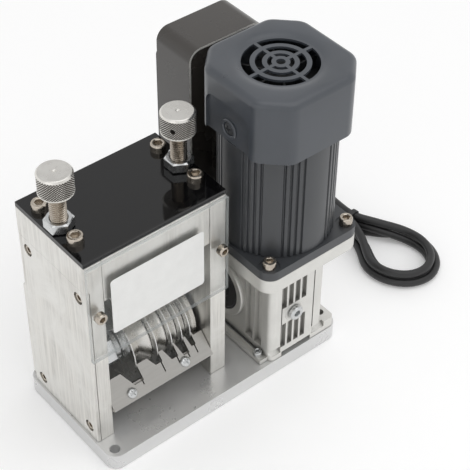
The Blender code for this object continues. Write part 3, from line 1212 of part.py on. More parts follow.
def cowl_outline(inset):
    half = COWL_HALF - inset
    flat = COWL_FLAT_HALF - inset * tan(pi / 8)
    corners = [(half, -flat), (half, flat), (flat, half), (-flat, half), (-half, flat), (-half, -flat),
               (-flat, -half), (flat, -half)]
    return rounded(corners, COWL_CORNER - inset / 2, 2)


def vent_cutters():
    """Ring slots split by four diagonal spokes, with a round hole in the middle."""
    parts = []
    low = COWL_TOP_Z - COWL_WALL - OVERRUN
    high = COWL_TOP_Z + OVERRUN
    for outer, inner in VENT_RINGS:
        steps = 2 + round(outer / VENT_OUTER_3)
        for quarter in range(4):
            points = []
            for radius, turns in ((outer, range(steps + 1)), (inner, range(steps, -1, -1))):
                spoke = VENT_SPOKE / 2 / radius
                start = quarter * pi / 2 - pi / 4 + spoke
                sweep = pi / 2 - 2 * spoke
                points += [(radius * cos(start + sweep * k / steps), radius * sin(start + sweep * k / steps))
                           for k in turns]
            parts.append(prism(points, low, high))
    parts.append(turned([(VENT_CENTRE, low), (VENT_CENTRE, high)], SMALL_STEPS))
    return joined(parts)


def make_cowl(dark):
    at = Matrix.Translation((MOTOR_X, MOTOR_Y, 0))
    low = COWL_Z + GAP
    inner = [Vector((x, y, COWL_TOP_Z - COWL_WALL)) for x, y in cowl_outline(COWL_WALL + COWL_TOP_ROUND / 2)]
    rings = [inner]
    for inset, height in ((COWL_WALL, COWL_TOP_Z - COWL_WALL - COWL_TOP_ROUND), (COWL_WALL, low), (0, low),
                          (0, COWL_TOP_Z - COWL_TOP_ROUND)):
        rings.append([Vector((x, y, height)) for x, y in cowl_outline(inset)])
    for turn in (pi / 4, pi / 2):
        inset = COWL_TOP_ROUND * (1 - cos(turn))
        height = COWL_TOP_Z - COWL_TOP_ROUND * (1 - sin(turn))
        rings.append([Vector((x, y, height)) for x, y in cowl_outline(inset)])
    bm = bmesh.new()
    loft(bm, rings)
    cowl = piece("fan_cowl", moved(bm, at), dark, smooth=radians(30))
    dish = turned([(COWL_LIP - COWL_LIP_DEPTH, COWL_TOP_Z - COWL_LIP_DEPTH),
                   (COWL_LIP, COWL_TOP_Z + OVERRUN)], FINE_STEPS)
    cut(cowl, "vent_dish", moved(dish, at))
    cut(cowl, "vent_slots", moved(vent_cutters(), at))


# Control box

def make_box(sheet, plastic, zinc):
    left = BOX_LEFT
    right = BOX_LEFT + BOX_WIDTH
    outer = rounded(rectangle(left, right, BOX_BOTTOM, BOX_TOP), BOX_BEND, 4)
    inner = rounded(rectangle(left + BOX_SHEET, right - BOX_SHEET, BOX_BOTTOM + BOX_SHEET,
                              BOX_TOP - BOX_SHEET), BOX_BEND - BOX_SHEET, 4)
    rings = []
    for y, outline in ((BOX_FRONT, outer), (BOX_REAR, outer), (BOX_REAR, inner), (BOX_FRONT, inner)):
        rings.append([Vector((x, y, z)) for x, z in outline])
    bm = bmesh.new()
    loft(bm, rings, closed=True)
    piece("box_cover", bm, sheet, smooth=radians(30))

    plate_y = BOX_FRONT + BOX_PLATE_RECESS
    inside = rounded(rectangle(left + BOX_SHEET + GAP, right - BOX_SHEET - GAP, BOX_BOTTOM + BOX_SHEET + GAP,
                               BOX_TOP - BOX_SHEET - GAP), BOX_BEND - BOX_SHEET, 4)
    flat = [(z, x) for x, z in reversed(inside)]
    plate = piece("box_plate", prism(flat, plate_y, plate_y + BOX_PLATE_THICKNESS, "Y"), sheet,
                  smooth=radians(30))

    # The plate's bracket ends in a saddle that follows the motor's round back
    back = MOTOR_Y + sqrt(MOTOR_RADIUS ** 2 - (BOX_BRACKET_WIDTH / 2) ** 2)
    join(plate, "box_bracket", box((MOTOR_X - BOX_BRACKET_WIDTH / 2, back, BOX_BRACKET_LOW),
                                   (MOTOR_X + BOX_BRACKET_WIDTH / 2, plate_y + GAP, BOX_BRACKET_HIGH)))
    rim = (MOTOR_RADIUS + GAP) / cos(pi / FINE_STEPS)
    saddle = turned([(rim, BOX_BRACKET_LOW - OVERRUN), (rim, BOX_BRACKET_HIGH + OVERRUN)], FINE_STEPS)
    cut(plate, "bracket_saddle", moved(saddle, Matrix.Translation((MOTOR_X, MOTOR_Y, 0))))

    lid_low = BOX_REAR + GAP
    lid_outline = rounded(rectangle(left + LID_INSET, right - LID_INSET, BOX_BOTTOM, BOX_TOP - LID_TOP_DROP),
                          LID_CORNER, 4)
    flat = [(z, x) for x, z in reversed(lid_outline)]
    lid = piece("box_lid", prism(flat, lid_low, lid_low + LID_DEPTH, "Y"), plastic, smooth=radians(30))
    bevelled(lid, 2 * EDGE_BREAK)
    switch_z = BOX_BOTTOM + SWITCH_UP
    half_w = SWITCH_WIDTH / 2 + GAP
    half_h = SWITCH_HEIGHT / 2 + GAP
    opening = box((BOX_CENTRE_X - half_w, lid_low - OVERRUN, switch_z - half_h),
                  (BOX_CENTRE_X + half_w, lid_low + LID_DEPTH + OVERRUN, switch_z + half_h))
    cut(lid, "switch_opening", opening)
    gland_x = right - GLAND_FROM_RIGHT
    gland_z = BOX_BOTTOM + GLAND_UP
    gland_hole = turned([(GLAND_TIP + GAP, -OVERRUN), (GLAND_TIP + GAP, LID_DEPTH + OVERRUN)], SMALL_STEPS)
    cut(lid, "gland_hole", moved(gland_hole, along((0, 1, 0), (gland_x, lid_low, gland_z))))
    fasten(lid, "lid_screws", lid_screw_places(), lambda: pan_screw(LID_DEPTH / 2))

    gland = turned([(GLAND_TIP, -LID_DEPTH), (GLAND_TIP, 0), (GLAND_RADIUS, 0), (GLAND_RADIUS, GLAND_COLLAR),
                    (GLAND_TIP, GLAND_LENGTH)], SMALL_STEPS)
    seat = (gland_x, lid_low + LID_DEPTH + GAP, gland_z)
    piece("cord_gland", moved(gland, along((0, 1, 0), seat)), plastic, smooth=radians(40))

    capacitor_z = BOX_BOTTOM + (BOX_TOP - BOX_BOTTOM) / 3
    can = turned([(CAPACITOR_RADIUS, 0), (CAPACITOR_RADIUS, CAPACITOR_LENGTH)], ROUND_STEPS)
    can_y = plate_y + BOX_PLATE_THICKNESS + GAP + CAPACITOR_RADIUS
    start = (BOX_CENTRE_X - CAPACITOR_LENGTH / 2, can_y, capacitor_z)
    piece("capacitor", moved(can, along((1, 0, 0), start)), zinc, smooth=radians(40))
    return switch_z, lid_low + LID_DEPTH, (gland_x, seat[1] + GLAND_LENGTH, gland_z)


def make_switch(plastic, rocker_plastic, switch_z, face):
    """Rocker switch snapped into the lid: a cup with a bezel, and the rocker on its pivot line."""
    half_w = SWITCH_WIDTH / 2
    half_h = SWITCH_HEIGHT / 2
    wall_w = half_w - ROCKER_GAP - EDGE_BREAK
    wall_h = half_h - ROCKER_GAP - EDGE_BREAK
    x = BOX_CENTRE_X
    body = piece("switch_body", box((x - half_w, face - SWITCH_BODY_DEPTH, switch_z - half_h),
                                    (x + half_w, face, switch_z + half_h)), plastic)
    rim_w = half_w + SWITCH_BEZEL
    rim_h = half_h + SWITCH_BEZEL
    bezel = box((x - rim_w, face + GAP, switch_z - rim_h),
                (x + rim_w, face + GAP + SWITCH_BEZEL_THICKNESS, switch_z + rim_h))
    neck = box((x - half_w + GAP, face - OVERRUN, switch_z - half_h + GAP),
               (x + half_w - GAP, face + OVERRUN / 2, switch_z + half_h - GAP))
    join(body, "switch_neck", neck)
    join(body, "switch_bezel", bezel)
    cut(body, "switch_well", box((x - wall_w, face - ROCKER_PROUD * 2, switch_z - wall_h),
                                 (x + wall_w, face + OVERRUN + SWITCH_BEZEL_THICKNESS, switch_z + wall_h)))
    pivot = (x, face - ROCKER_PROUD / 2, switch_z)
    rocker_axis = axis_empty("rocker_axis", pivot)
    reach = wall_h - ROCKER_GAP
    outer = face + SWITCH_BEZEL_THICKNESS
    tip = reach * cos(ROCKER_TILT)
    proud = outer + ROCKER_PROUD / 2
    outline = [(switch_z - reach, pivot[1] - EDGE_BREAK), (switch_z, pivot[1] - ROCKER_PROUD / 2),
               (switch_z + reach, pivot[1] - EDGE_BREAK), (switch_z + tip, proud), (switch_z, outer),
               (switch_z - tip, proud)]
    paddle = prism([(y, z) for z, y in outline], x - wall_w + ROCKER_GAP, x + wall_w - ROCKER_GAP, "X")
    piece("switch_rocker", paddle, rocker_plastic, pivot, carrier=rocker_axis)


# Mains lead

def hank_point(turns):
    """Middle of the cord after a number of turns round the hank, in the hank's own frame."""
    reverse = HANK_LOOPS * HANK_REVERSE_SHARE
    inset = HANK_STEP * (turns if turns < reverse else 2 * reverse - turns)
    climb = max(0, min(1, (turns - reverse) * 2 + 0.5))
    height = CORD_DIAMETER / 2 + CORD_REST + HANK_LAYER * climb * climb * (3 - 2 * climb)
    radius = HANK_END_RADIUS - inset
    drawn_in = HANK_END_RADIUS - HANK_WAIST
    arc = pi * HANK_END_RADIUS
    lap = 2 * arc + 4 * HANK_RUN
    along_lap = (turns % 1) * lap
    corners = (arc / 2, arc / 2 + 2 * HANK_RUN, 3 * arc / 2 + 2 * HANK_RUN, 3 * arc / 2 + 4 * HANK_RUN)
    if along_lap < corners[0] or along_lap >= corners[3]:
        angle = (along_lap if along_lap < corners[0] else along_lap - lap) / HANK_END_RADIUS
        return Vector((radius * sin(angle), HANK_RUN + radius * cos(angle) * HANK_END_STRETCH, height))
    if along_lap < corners[1]:
        y = HANK_RUN - (along_lap - corners[0])
        side = 1
    elif along_lap < corners[2]:
        angle = (along_lap - corners[1]) / HANK_END_RADIUS
        return Vector((radius * cos(angle), -HANK_RUN - radius * sin(angle) * HANK_END_STRETCH, height))
    else:
        y = -HANK_RUN + (along_lap - corners[2])
        side = -1
    waist = cos(pi * y / (2 * HANK_RUN)) ** 2
    return Vector((side * (radius - drawn_in * waist), y, height + TIE_THICKNESS * 2 * waist ** 4))


def hank_frame():
    return Matrix.Translation((HANK_X, HANK_Y, 0)) @ Matrix.Rotation(HANK_TURN, 4, "Z")


def hank_route():
    """The loops with a straight run at each end, in the part's frame."""
    count = HANK_LOOPS * HANK_LOOP_POINTS
    points = [hank_point(HANK_LOOPS * i / count) for i in range(count)]
    last = hank_point(HANK_LOOPS - 1e-9)
    first = points[0] + Vector((-CORD_DIAMETER, 0, 0))
    drop = PLUG_HEIGHT / 2 + CORD_REST - last.z
    tail = [last + Vector((HANK_TAIL * HANK_TAIL_DROP_SHARE, 0, 0)),
            last + Vector((HANK_TAIL * HANK_TAIL_REST_SHARE, 0, drop)), last + Vector((HANK_TAIL, 0, drop))]
    points = [first] + points + [last] + tail
    frame = hank_frame()
    return [frame @ point for point in points]


def least_gap(points, diameter):
    """Least clear distance between stretches of one cord that are not neighbours."""
    dense = []
    for start, end in zip(points, points[1:]):
        dense += [start.lerp(end, k / 4) for k in range(4)]
    travelled = [0]
    for start, end in zip(dense, dense[1:]):
        travelled.append(travelled[-1] + (end - start).length)
    least = None
    for i, a in enumerate(dense):
        for j in range(i + 1, len(dense)):
            if travelled[j] - travelled[i] > 4 * diameter:
                distance = (dense[j] - a).length - diameter
                least = distance if least is None else min(least, distance)
    return least


def smooth_route(points, spacing):
    """Points read at even steps from a smooth curve through a cord's own route points."""
    ends = [2 * points[0] - points[1]] + points + [2 * points[-1] - points[-2]]
    dense = []
    for a, b, c, d in zip(ends, ends[1:], ends[2:], ends[3:]):
        for k in range(24):
            t = k / 24
            dense.append(0.5 * (2 * b + (c - a) * t + (2 * a - 5 * b + 4 * c - d) * t ** 2
                                + (3 * b - a - 3 * c + d) * t ** 3))
    dense.append(points[-1])
    total = sum((b - a).length for a, b in zip(dense, dense[1:]))
    count = round(total / spacing)
    route = [dense[0]]
    walked = 0
    for a, b in zip(dense, dense[1:]):
        walked += (b - a).length
        if walked >= len(route) * total / count and len(route) < count:
            route.append(b)
    return route + [dense[-1]]


def tube(name, points, finish, sides):
    curve = bpy.data.curves.new(name, "CURVE")
    curve.dimensions = "3D"
    curve.bevel_depth = CORD_DIAMETER / 2
    curve.bevel_resolution = sides
    curve.use_fill_caps = True
    spline = curve.splines.new("POLY")
    spline.points.add(len(points) - 1)
    for slot, point in zip(spline.points, points):
        slot.co = (*point, 1)
    curve.materials.append(finish)
    item = bpy.data.objects.new(name, curve)
    bpy.context.scene.collection.objects.link(item)


def make_cord(rubber, plastic, exit_point):
    hank = hank_route()
    print("least gap between the hank's turns, mm:", round(least_gap(hank, CORD_DIAMETER) * 1000, 2))
    tube("cord_hank", hank, rubber, 1)

    start = Vector(exit_point) + Vector((0, GAP, 0))
    heading = (hank[1] - hank[0]).normalized()
    end = hank[0] - heading * GAP
    rest = CORD_DIAMETER / 2 + CORD_REST
    route = [start, start + Vector((0, CORD_DIAMETER, 0))]
    route += [Vector(point) for point in LEAD_FALL]
    route += [Vector((x, y, rest)) for x, y in LEAD_FLOOR]
    route += [end - heading * 2 * CORD_DIAMETER, end - heading * CORD_DIAMETER, end]
    tube("cord_lead", [start] + smooth_route(route[1:-1], 2.5 * CORD_DIAMETER) + [end], rubber, 2)
    whole = route + hank
    print("cord length, m:", round(sum((b - a).length for a, b in zip(whole, whole[1:])), 3))

    frame = hank_frame()
    reach = HANK_WAIST + CORD_DIAMETER / 2 + TIE_SLACK
    left = HANK_STEP * 3 / 4 - reach
    right = reach - HANK_STEP / 4
    high = CORD_DIAMETER + CORD_REST + HANK_LAYER + 2 * TIE_THICKNESS + GAP
    low = TIE_THICKNESS + GAP
    inner = rounded(rectangle(left, right, low, high), CORD_DIAMETER / 2, 3)
    outer = rounded(rectangle(left - TIE_THICKNESS, right + TIE_THICKNESS, low - TIE_THICKNESS,
                              high + TIE_THICKNESS), CORD_DIAMETER / 2 + TIE_THICKNESS, 3)
    rings = []
    half = TIE_WIDTH / 2
    for y, outline in ((-half, outer), (half, outer), (half, inner), (-half, inner)):
        rings.append([Vector((x, y, z)) for x, z in outline])
    tie = bmesh.new()
    loft(tie, rings, closed=True)
    piece("cord_tie", moved(tie, frame), plastic, smooth=radians(30))

    tail = hank[-1]
    heading = (hank[-1] - hank[-2]).normalized()
    relief = turned([(CORD_DIAMETER / 2 + GAP, 0), (PLUG_RELIEF_RADIUS, PLUG_RELIEF + GAP)], SMALL_STEPS)
    body = prism(rounded(rectangle(-PLUG_WIDTH / 2, PLUG_WIDTH / 2, -PLUG_HEIGHT / 2, PLUG_HEIGHT / 2),
                         PLUG_HEIGHT / 4, 3), PLUG_RELIEF, PLUG_RELIEF + PLUG_LENGTH)
    pins = []
    pin_low = PLUG_RELIEF + PLUG_LENGTH - GAP
    for side in (-1, 1):
        middle = side * PLUG_PIN_SPACING / 2
        pins.append(box((middle - PLUG_PIN_THICKNESS / 2, -PLUG_PIN_WIDTH / 2, pin_low),
                        (middle + PLUG_PIN_THICKNESS / 2, PLUG_PIN_WIDTH / 2, pin_low + PLUG_PIN_LENGTH)))
    start = tail + heading * GAP
    at = Matrix(((-heading.y, 0, heading.x, start.x), (heading.x, 0, heading.y, start.y), (0, 1, 0, start.z),
                 (0, 0, 0, 1)))
    plug = piece("plug", moved(body, at), rubber, smooth=radians(40))
    join(plug, "plug_ends", moved(joined([relief] + pins), at))


def build():
    clear_scene()
    brushed = material("brushed_aluminium", (0.72, 0.71, 0.69), 0.38, 1)
    ground = material("ground_aluminium", (0.66, 0.66, 0.65), 0.30, 1)
    turned_steel = material("turned_steel", (0.62, 0.62, 0.63), 0.25, 1)
    blade_steel = material("blade_steel", (0.78, 0.78, 0.79), 0.18, 1)
    zinc = material("zinc_plated_steel", (0.75, 0.74, 0.71), 0.28, 1)
    cast = material("cast_aluminium", (0.70, 0.70, 0.69), 0.50, 1)
    acrylic = material("clear_acrylic", (0.90, 0.92, 0.92), 0.05, 0, 0.25)
    gloss = material("black_gloss_panel", (0.03, 0.03, 0.03), 0.08, 0)
    enamel = material("grey_enamel", (0.10, 0.11, 0.12), 0.35, 0)
    sheet = material("black_box_cover", (0.05, 0.048, 0.045), 0.30, 0)
    rubber = material("black_rubber", (0.02, 0.02, 0.02), 0.55, 0)
    plastic = material("black_plastic", (0.03, 0.03, 0.03), 0.45, 0)
    bronze = material("wheel_bronze", (0.60, 0.38, 0.15), 0.35, 1)
    copper = material("copper_winding", (0.55, 0.25, 0.12), 0.45, 1)
    iron = material("rotor_iron", (0.30, 0.30, 0.31), 0.50, 1)
    red = material("rocker_red", (0.55, 0.03, 0.02), 0.35, 0)

    make_base(ground)
    make_head(brushed, acrylic, gloss)
    make_tray(brushed, ground)
    make_inlet(brushed)
    shaft_axis = axis_empty("shaft_axis", (LEFT_INNER, SHAFT_Y, CUTTER_Z))
    roller_axis = axis_empty("roller_axis", (LEFT_INNER, SHAFT_Y, ROLLER_Z))
    carriage = axis_empty("carriage_slide", ((HEAD_LEFT + HEAD_RIGHT) / 2, SHAFT_Y, ROLLER_Z))
    left_axis = axis_empty("left_stud_axis", (LEFT_KNOB_X, SHAFT_Y, KNOB_Z))
    right_axis = axis_empty("right_stud_axis", (RIGHT_KNOB_X, SHAFT_Y, KNOB_Z))
    rotor_axis = axis_empty("rotor_axis", (MOTOR_X, MOTOR_Y, MOTOR_Z))
    make_cutter(turned_steel, blade_steel, ground, bronze, shaft_axis)
    make_roller(turned_steel, roller_axis)
    make_carriage(turned_steel, carriage)
    make_adjusters(ground, zinc, left_axis, right_axis)
    make_gearbox(cast, rubber, zinc)
    make_bearings(turned_steel)
    make_motor(cast, enamel, copper)
    make_rotor(turned_steel, iron, plastic, rotor_axis)
    make_cowl(enamel)
    switch_z, face, exit_point = make_box(sheet, plastic, zinc)
    make_switch(plastic, red, switch_z, face)
    make_cord(rubber, plastic, exit_point)


build()
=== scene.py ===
from math import acos, cos, pi, radians, sin, sqrt, tan
import bmesh
import bpy
from mathutils import Matrix, Vector


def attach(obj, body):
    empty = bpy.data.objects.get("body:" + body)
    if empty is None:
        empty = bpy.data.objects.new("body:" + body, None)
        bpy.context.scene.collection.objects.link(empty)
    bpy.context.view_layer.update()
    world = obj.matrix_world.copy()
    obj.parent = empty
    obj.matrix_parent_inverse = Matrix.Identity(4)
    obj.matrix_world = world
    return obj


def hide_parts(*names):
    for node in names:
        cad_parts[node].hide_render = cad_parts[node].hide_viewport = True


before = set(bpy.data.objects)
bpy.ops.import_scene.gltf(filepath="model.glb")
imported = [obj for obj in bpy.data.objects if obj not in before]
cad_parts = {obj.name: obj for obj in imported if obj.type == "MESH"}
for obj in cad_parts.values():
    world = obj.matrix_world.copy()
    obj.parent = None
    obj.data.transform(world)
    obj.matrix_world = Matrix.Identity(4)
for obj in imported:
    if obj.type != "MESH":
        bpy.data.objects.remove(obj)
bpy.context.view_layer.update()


# Studio: a white sweep, one wide softbox overhead and a weaker one to the left, as for a shop photograph.
# The camera stands in front of the head's left corner and looks down on the machine at about 43 degrees.

def colour(hex_code):
    """The linear colour of an sRGB hex code."""
    levels = [int(hex_code[i:i + 2], 16) / 255 for i in (1, 3, 5)]
    return [c / 12.92 if c <= 0.04045 else ((c + 0.055) / 1.055) ** 2.4 for c in levels] + [1]


def blank(name):
    """A material with nothing in it yet."""
    made = bpy.data.materials.new(name)
    made.use_nodes = True
    made.node_tree.nodes.clear()
    return made


def add(owner, kind, inputs=None, **settings):
    """Adds a node; an input takes a value, a socket, or a node whose first output is meant."""
    node = owner.node_tree.nodes.new("ShaderNode" + kind)
    for name, value in settings.items():
        setattr(node, name, value)
    for name, value in (inputs or {}).items():
        if isinstance(value, bpy.types.Node):
            value = value.outputs[0]
        if isinstance(value, bpy.types.NodeSocket):
            owner.node_tree.links.new(value, node.inputs[name])
        else:
            node.inputs[name].default_value = value
    return node


camera = bpy.data.objects.new("camera", bpy.data.cameras.new("camera"))
camera.location = (-0.455393, -0.599127, 0.825441)
camera.rotation_euler = (radians(47.3277), radians(-0.5290), radians(-39.5606))
camera.data.lens = 108.54
camera.data.sensor_width = 36
bpy.context.scene.collection.objects.link(camera)
bpy.context.scene.camera = camera
bpy.context.scene.view_settings.view_transform = "Standard"

for name, place, turn, size, power in (("softbox_above", (0.15, -0.25, 1.5), (8, 4, 0), 1.5, 6),
                                       ("softbox_left", (-1.5, -0.6, 0.9), (0, -62, 22), 1.1, 1.7)):
    lamp = bpy.data.lights.new(name, "AREA")
    lamp.shape = "SQUARE"
    lamp.size = size
    lamp.energy = power
    softbox = bpy.data.objects.new(name, lamp)
    softbox.location = place
    softbox.rotation_euler = [radians(angle) for angle in turn]
    bpy.context.scene.collection.objects.link(softbox)

room = bpy.data.worlds.new("white_room")
room.use_nodes = True
room.node_tree.nodes.clear()
path = add(room, "LightPath")
up = add(room, "SeparateXYZ", {"Vector": add(room, "TexCoord").outputs["Generated"]}).outputs["Z"]
# Metal and acrylic see white walls, and a ceiling that falls off to grey above the softboxes
ceiling = add(room, "MapRange", {"Value": up, "From Min": 0.15, "From Max": 0.8, "To Min": 1.0,
                                 "To Max": 0.7})
seen = add(room, "Math", {0: path.outputs["Is Glossy Ray"], 1: path.outputs["Is Transmission Ray"]},
           operation="MAXIMUM")
# Plain surfaces get more light from the right and the front right than from the left
across = add(room, "VectorMath", {0: add(room, "TexCoord").outputs["Generated"], 1: (0.8, -0.6, 0.1)},
             operation="DOT_PRODUCT").outputs["Value"]
flank = add(room, "MapRange", {"Value": across, "From Min": -0.9, "From Max": 0.9, "To Min": 0.42,
                               "To Max": 1.0})
level = add(room, "MapRange", {"Value": seen, "To Min": flank, "To Max": ceiling})
level = add(room, "MapRange", {"Value": path.outputs["Is Camera Ray"], "To Min": level, "To Max": 1.0})
white = add(room, "Background", {"Color": colour("#FFFFFF"), "Strength": level})
add(room, "OutputWorld", {"Surface": white})
bpy.context.scene.world = room

# Painted white sweep: bright enough by itself to be white to the lens, and still dimmed by a shadow.
sweep_paint = blank("white_sweep_paint")
path = add(sweep_paint, "LightPath")
seen = add(sweep_paint, "Math", {0: path.outputs["Is Camera Ray"], 1: path.outputs["Is Glossy Ray"]},
           operation="MAXIMUM")
seen = add(sweep_paint, "Math", {0: seen, 1: path.outputs["Is Transmission Ray"]}, operation="MAXIMUM")
lift = add(sweep_paint, "MapRange", {"Value": seen, "To Min": 0.0, "To Max": 0.16})
glow = add(sweep_paint, "Emission", {"Color": colour("#FFFFFF"), "Strength": lift})
matt = add(sweep_paint, "BsdfDiffuse", {"Color": colour("#F4F4F4")})
add(sweep_paint, "OutputMaterial", {"Surface": add(sweep_paint, "AddShader", {0: glow, 1: matt})})
sweep_mesh = bpy.data.meshes.new("sweep")
floor_z = -0.0004
sweep_mesh.from_pydata([(x, y, floor_z) for x, y in ((-6, -6), (6, -6), (6, 6), (-6, 6))], [], [(0, 1, 2, 3)])
sweep = bpy.data.objects.new("sweep", sweep_mesh)
sweep.data.materials.append(sweep_paint)
bpy.context.scene.collection.objects.link(sweep)


# Base plate: a 14 mm aluminium slab that everything is bolted to, sawn to size, its corners milled round.
# The top is face milled, so it mirrors what stands on it, and the edge is plain ground.

def loft(rings, closed=False):
    """A form through rings of equal point counts; all sizes of the pieces are in millimetres."""
    form = bmesh.new()
    rows = [[form.verts.new(point) for point in ring] for ring in rings]
    count = len(rows[0])
    for lower, upper in list(zip(rows, rows[1:])) + ([(rows[-1], rows[0])] if closed else []):
        for i in range(count):
            j = (i + 1) % count
            form.faces.new((lower[i], lower[j], upper[j], upper[i]))
    if not closed:
        form.faces.new(list(reversed(rows[0])))
        form.faces.new(rows[-1])
    return form


def circle(radius, height, steps=64, phase=0):
    turns = [phase + 2 * pi * i / steps for i in range(steps)]
    return [Vector((radius * cos(turn), radius * sin(turn), height)) for turn in turns]


def turned(profile, steps=64, bored=False):
    """A turned form about Z from (radius, height) points, bottom to top, and back inside if bored."""
    return loft([circle(radius, height, steps) for radius, height in profile], closed=bored)


def rod(radius, low, high, place, steps=64):
    """A plain round rod, as a pin or as the hole that a drill leaves."""
    return moved(turned([(radius, low), (radius, high)], steps), place)


def rectangle(x0, x1, y0, y1):
    return [(x0, y0), (x1, y0), (x1, y1), (x0, y1)]


def rounded(points, radius, steps=12):
    """The outline through points, given anticlockwise, with each corner turned to an arc."""
    outline = []
    for i, corner in enumerate(points):
        here = Vector(corner)
        before = (Vector(points[i - 1]) - here).normalized()
        after = (Vector(points[(i + 1) % len(points)]) - here).normalized()
        half = acos(max(-1, min(1, before.dot(after)))) / 2
        centre = here + (before + after).normalized() * radius / sin(half)
        start = here + before * radius / tan(half) - centre
        end = here + after * radius / tan(half) - centre
        sweep_angle = start.angle_signed(end)
        for k in range(steps + 1):
            outline.append(tuple(centre + Matrix.Rotation(-sweep_angle * k / steps, 2) @ start))
    return outline


def prism(outline, low, high, axis="Z"):
    """An outline drawn across an axis and drawn out from low to high along it; across Y it is (z, x)."""
    place = {"X": lambda a, b, c: Vector((c, a, b)), "Y": lambda a, b, c: Vector((b, c, a)),
             "Z": lambda a, b, c: Vector((a, b, c))}[axis]
    return loft([[place(a, b, c) for a, b in outline] for c in (low, high)])


def facing(outline):
    """An outline drawn on a front face, as x and z, made ready for a prism across Y."""
    return [(z, x) for x, z in reversed(outline)]


def block(low, high):
    return prism(rectangle(low[0], high[0], low[1], high[1]), low[2], high[2])


def moved(form, place):
    form.transform(place)
    return form


def at(x, y, z):
    return Matrix.Translation((x, y, z))


def along(direction, centre):
    """The place whose own Z runs along a direction from a centre."""
    turn = Vector((0, 0, 1)).rotation_difference(Vector(direction)).to_matrix().to_4x4()
    return Matrix.Translation(centre) @ turn


def together(forms):
    whole = bmesh.new()
    for form in forms:
        mesh = bpy.data.meshes.new("form")
        form.to_mesh(mesh)
        form.free()
        whole.from_mesh(mesh)
        bpy.data.meshes.remove(mesh)
    return whole


def worked(form, *tools, way="DIFFERENCE"):
    """A form with each tool's volume milled out of it, or welded on to it."""
    items = []
    for shape in (form, *tools):
        bmesh.ops.remove_doubles(shape, verts=shape.verts, dist=1e-5)
        bmesh.ops.recalc_face_normals(shape, faces=shape.faces)
        mesh = bpy.data.meshes.new("form")
        shape.to_mesh(mesh)
        shape.free()
        items.append(bpy.data.objects.new("form", mesh))
        bpy.context.scene.collection.objects.link(items[-1])
    for tool in items[1:]:
        step = items[0].modifiers.new("step", "BOOLEAN")
        step.operation = way
        step.object = tool
    bpy.context.view_layer.update()
    result = bmesh.new()
    result.from_object(items[0], bpy.context.evaluated_depsgraph_get())
    for item in items:
        mesh = item.data
        bpy.data.objects.remove(item)
        bpy.data.meshes.remove(mesh)
    return result


def piece(name, form, finish, edge=0, smooth=30, steps=3):
    """A named piece from a form in millimetres; edge is how far its sharp edges are broken."""
    bmesh.ops.remove_doubles(form, verts=form.verts, dist=1e-5)
    bmesh.ops.dissolve_degenerate(form, edges=form.edges, dist=1e-5)
    bmesh.ops.recalc_face_normals(form, faces=form.faces)
    form.transform(Matrix.Scale(0.001, 4))
    mesh = bpy.data.meshes.new(name)
    form.to_mesh(mesh)
    form.free()
    mesh.shade_smooth()
    mesh.set_sharp_from_angle(angle=radians(smooth))
    mesh.materials.append(finish)
    item = bpy.data.objects.new(name, mesh)
    bpy.context.scene.collection.objects.link(item)
    if edge:
        rounding = item.modifiers.new("broken_edges", "BEVEL")
        rounding.width = edge / 1000
        rounding.segments = steps
        rounding.limit_method = "ANGLE"
        rounding.angle_limit = radians(smooth + 5)
        rounding.harden_normals = True
    return item


def mottled(name, mottle, tones, gloss, skin=None, grain=None, window=(0.3, 0.7), more=None, centre=None):
    """A finish whose tone and gloss wander with a noise, the mottle, given as (millimetres, detail).

    Gloss is the roughness at the two ends of the window of that noise. Skin is a bump's strength and depth
    in millimetres. It follows the mottle, or a grain of its own: another noise, or a kind of node with its
    inputs and settings, which may be laid round a centre, in millimetres.
    """
    made = blank(name)
    spot = add(made, "TexCoord").outputs["Object"]
    cloud = add(made, "TexNoise", {"Vector": spot, "Scale": 1000 / mottle[0], "Detail": mottle[1]})
    tone = add(made, "Mix", {0: cloud, 6: colour(tones[0]), 7: colour(tones[1])}, data_type="RGBA")
    rough = add(made, "MapRange", {"Value": cloud, "From Min": window[0], "From Max": window[1],
                                   "To Min": gloss[0], "To Max": gloss[1]})
    sockets = {"Base Color": tone.outputs[2], "Roughness": rough, **(more or {})}
    if centre:
        spot = add(made, "Mapping", {"Vector": spot, "Location": [-place / 1000 for place in centre]})
    if skin:
        if grain and len(grain) == 2:
            grain = ("TexNoise", {"Scale": 1000 / grain[0], "Detail": grain[1]}, {})
        fine = add(made, grain[0], {"Vector": spot, **grain[1]}, **grain[2]) if grain else cloud
        sockets["Normal"] = add(made, "Bump", {"Height": fine, "Strength": skin[0],
                                               "Distance": skin[1] / 1000})
    add(made, "OutputMaterial", {"Surface": add(made, "BsdfPrincipled", sockets)})
    return made


# Face-milled aluminium 6061: fine arcs of the cutter in a bright, slightly grey mirror
# A wave texture runs through one period in 100 pi / scale millimetres
cutter_arcs = ("TexWave", {"Scale": 100 * pi / 7.854, "Distortion": 2.5, "Detail": 3, "Detail Scale": 6},
               {"wave_type": "RINGS", "rings_direction": "Z"})
milled_aluminium = mottled("face_milled_aluminium", (22.22, 5), ("#D6D6D6", "#DFDFDE"), (0.24, 0.40),
                           (0.1, 0.03), cutter_arcs, more={"Metallic": 0.6})

outline = rounded(rectangle(-110, 110, -55, 55), 9.5)
holes = [rod(4, -1, 15, at(x, y, 0)) for x in (-102.5, 102.5) for y in (-47, 47)]
base = piece("base", worked(prism(outline, 0, 14), *holes), milled_aluminium, edge=0.7)
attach(base, "frame")
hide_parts("base_plate")


# Side walls: 14 mm aluminium plates on the base, the left one recessed for its cover. In its inner face each
# has a chamber for the sliding bearing block, a channel for the adjusting stud and a seat for the shaft's
# bearing.

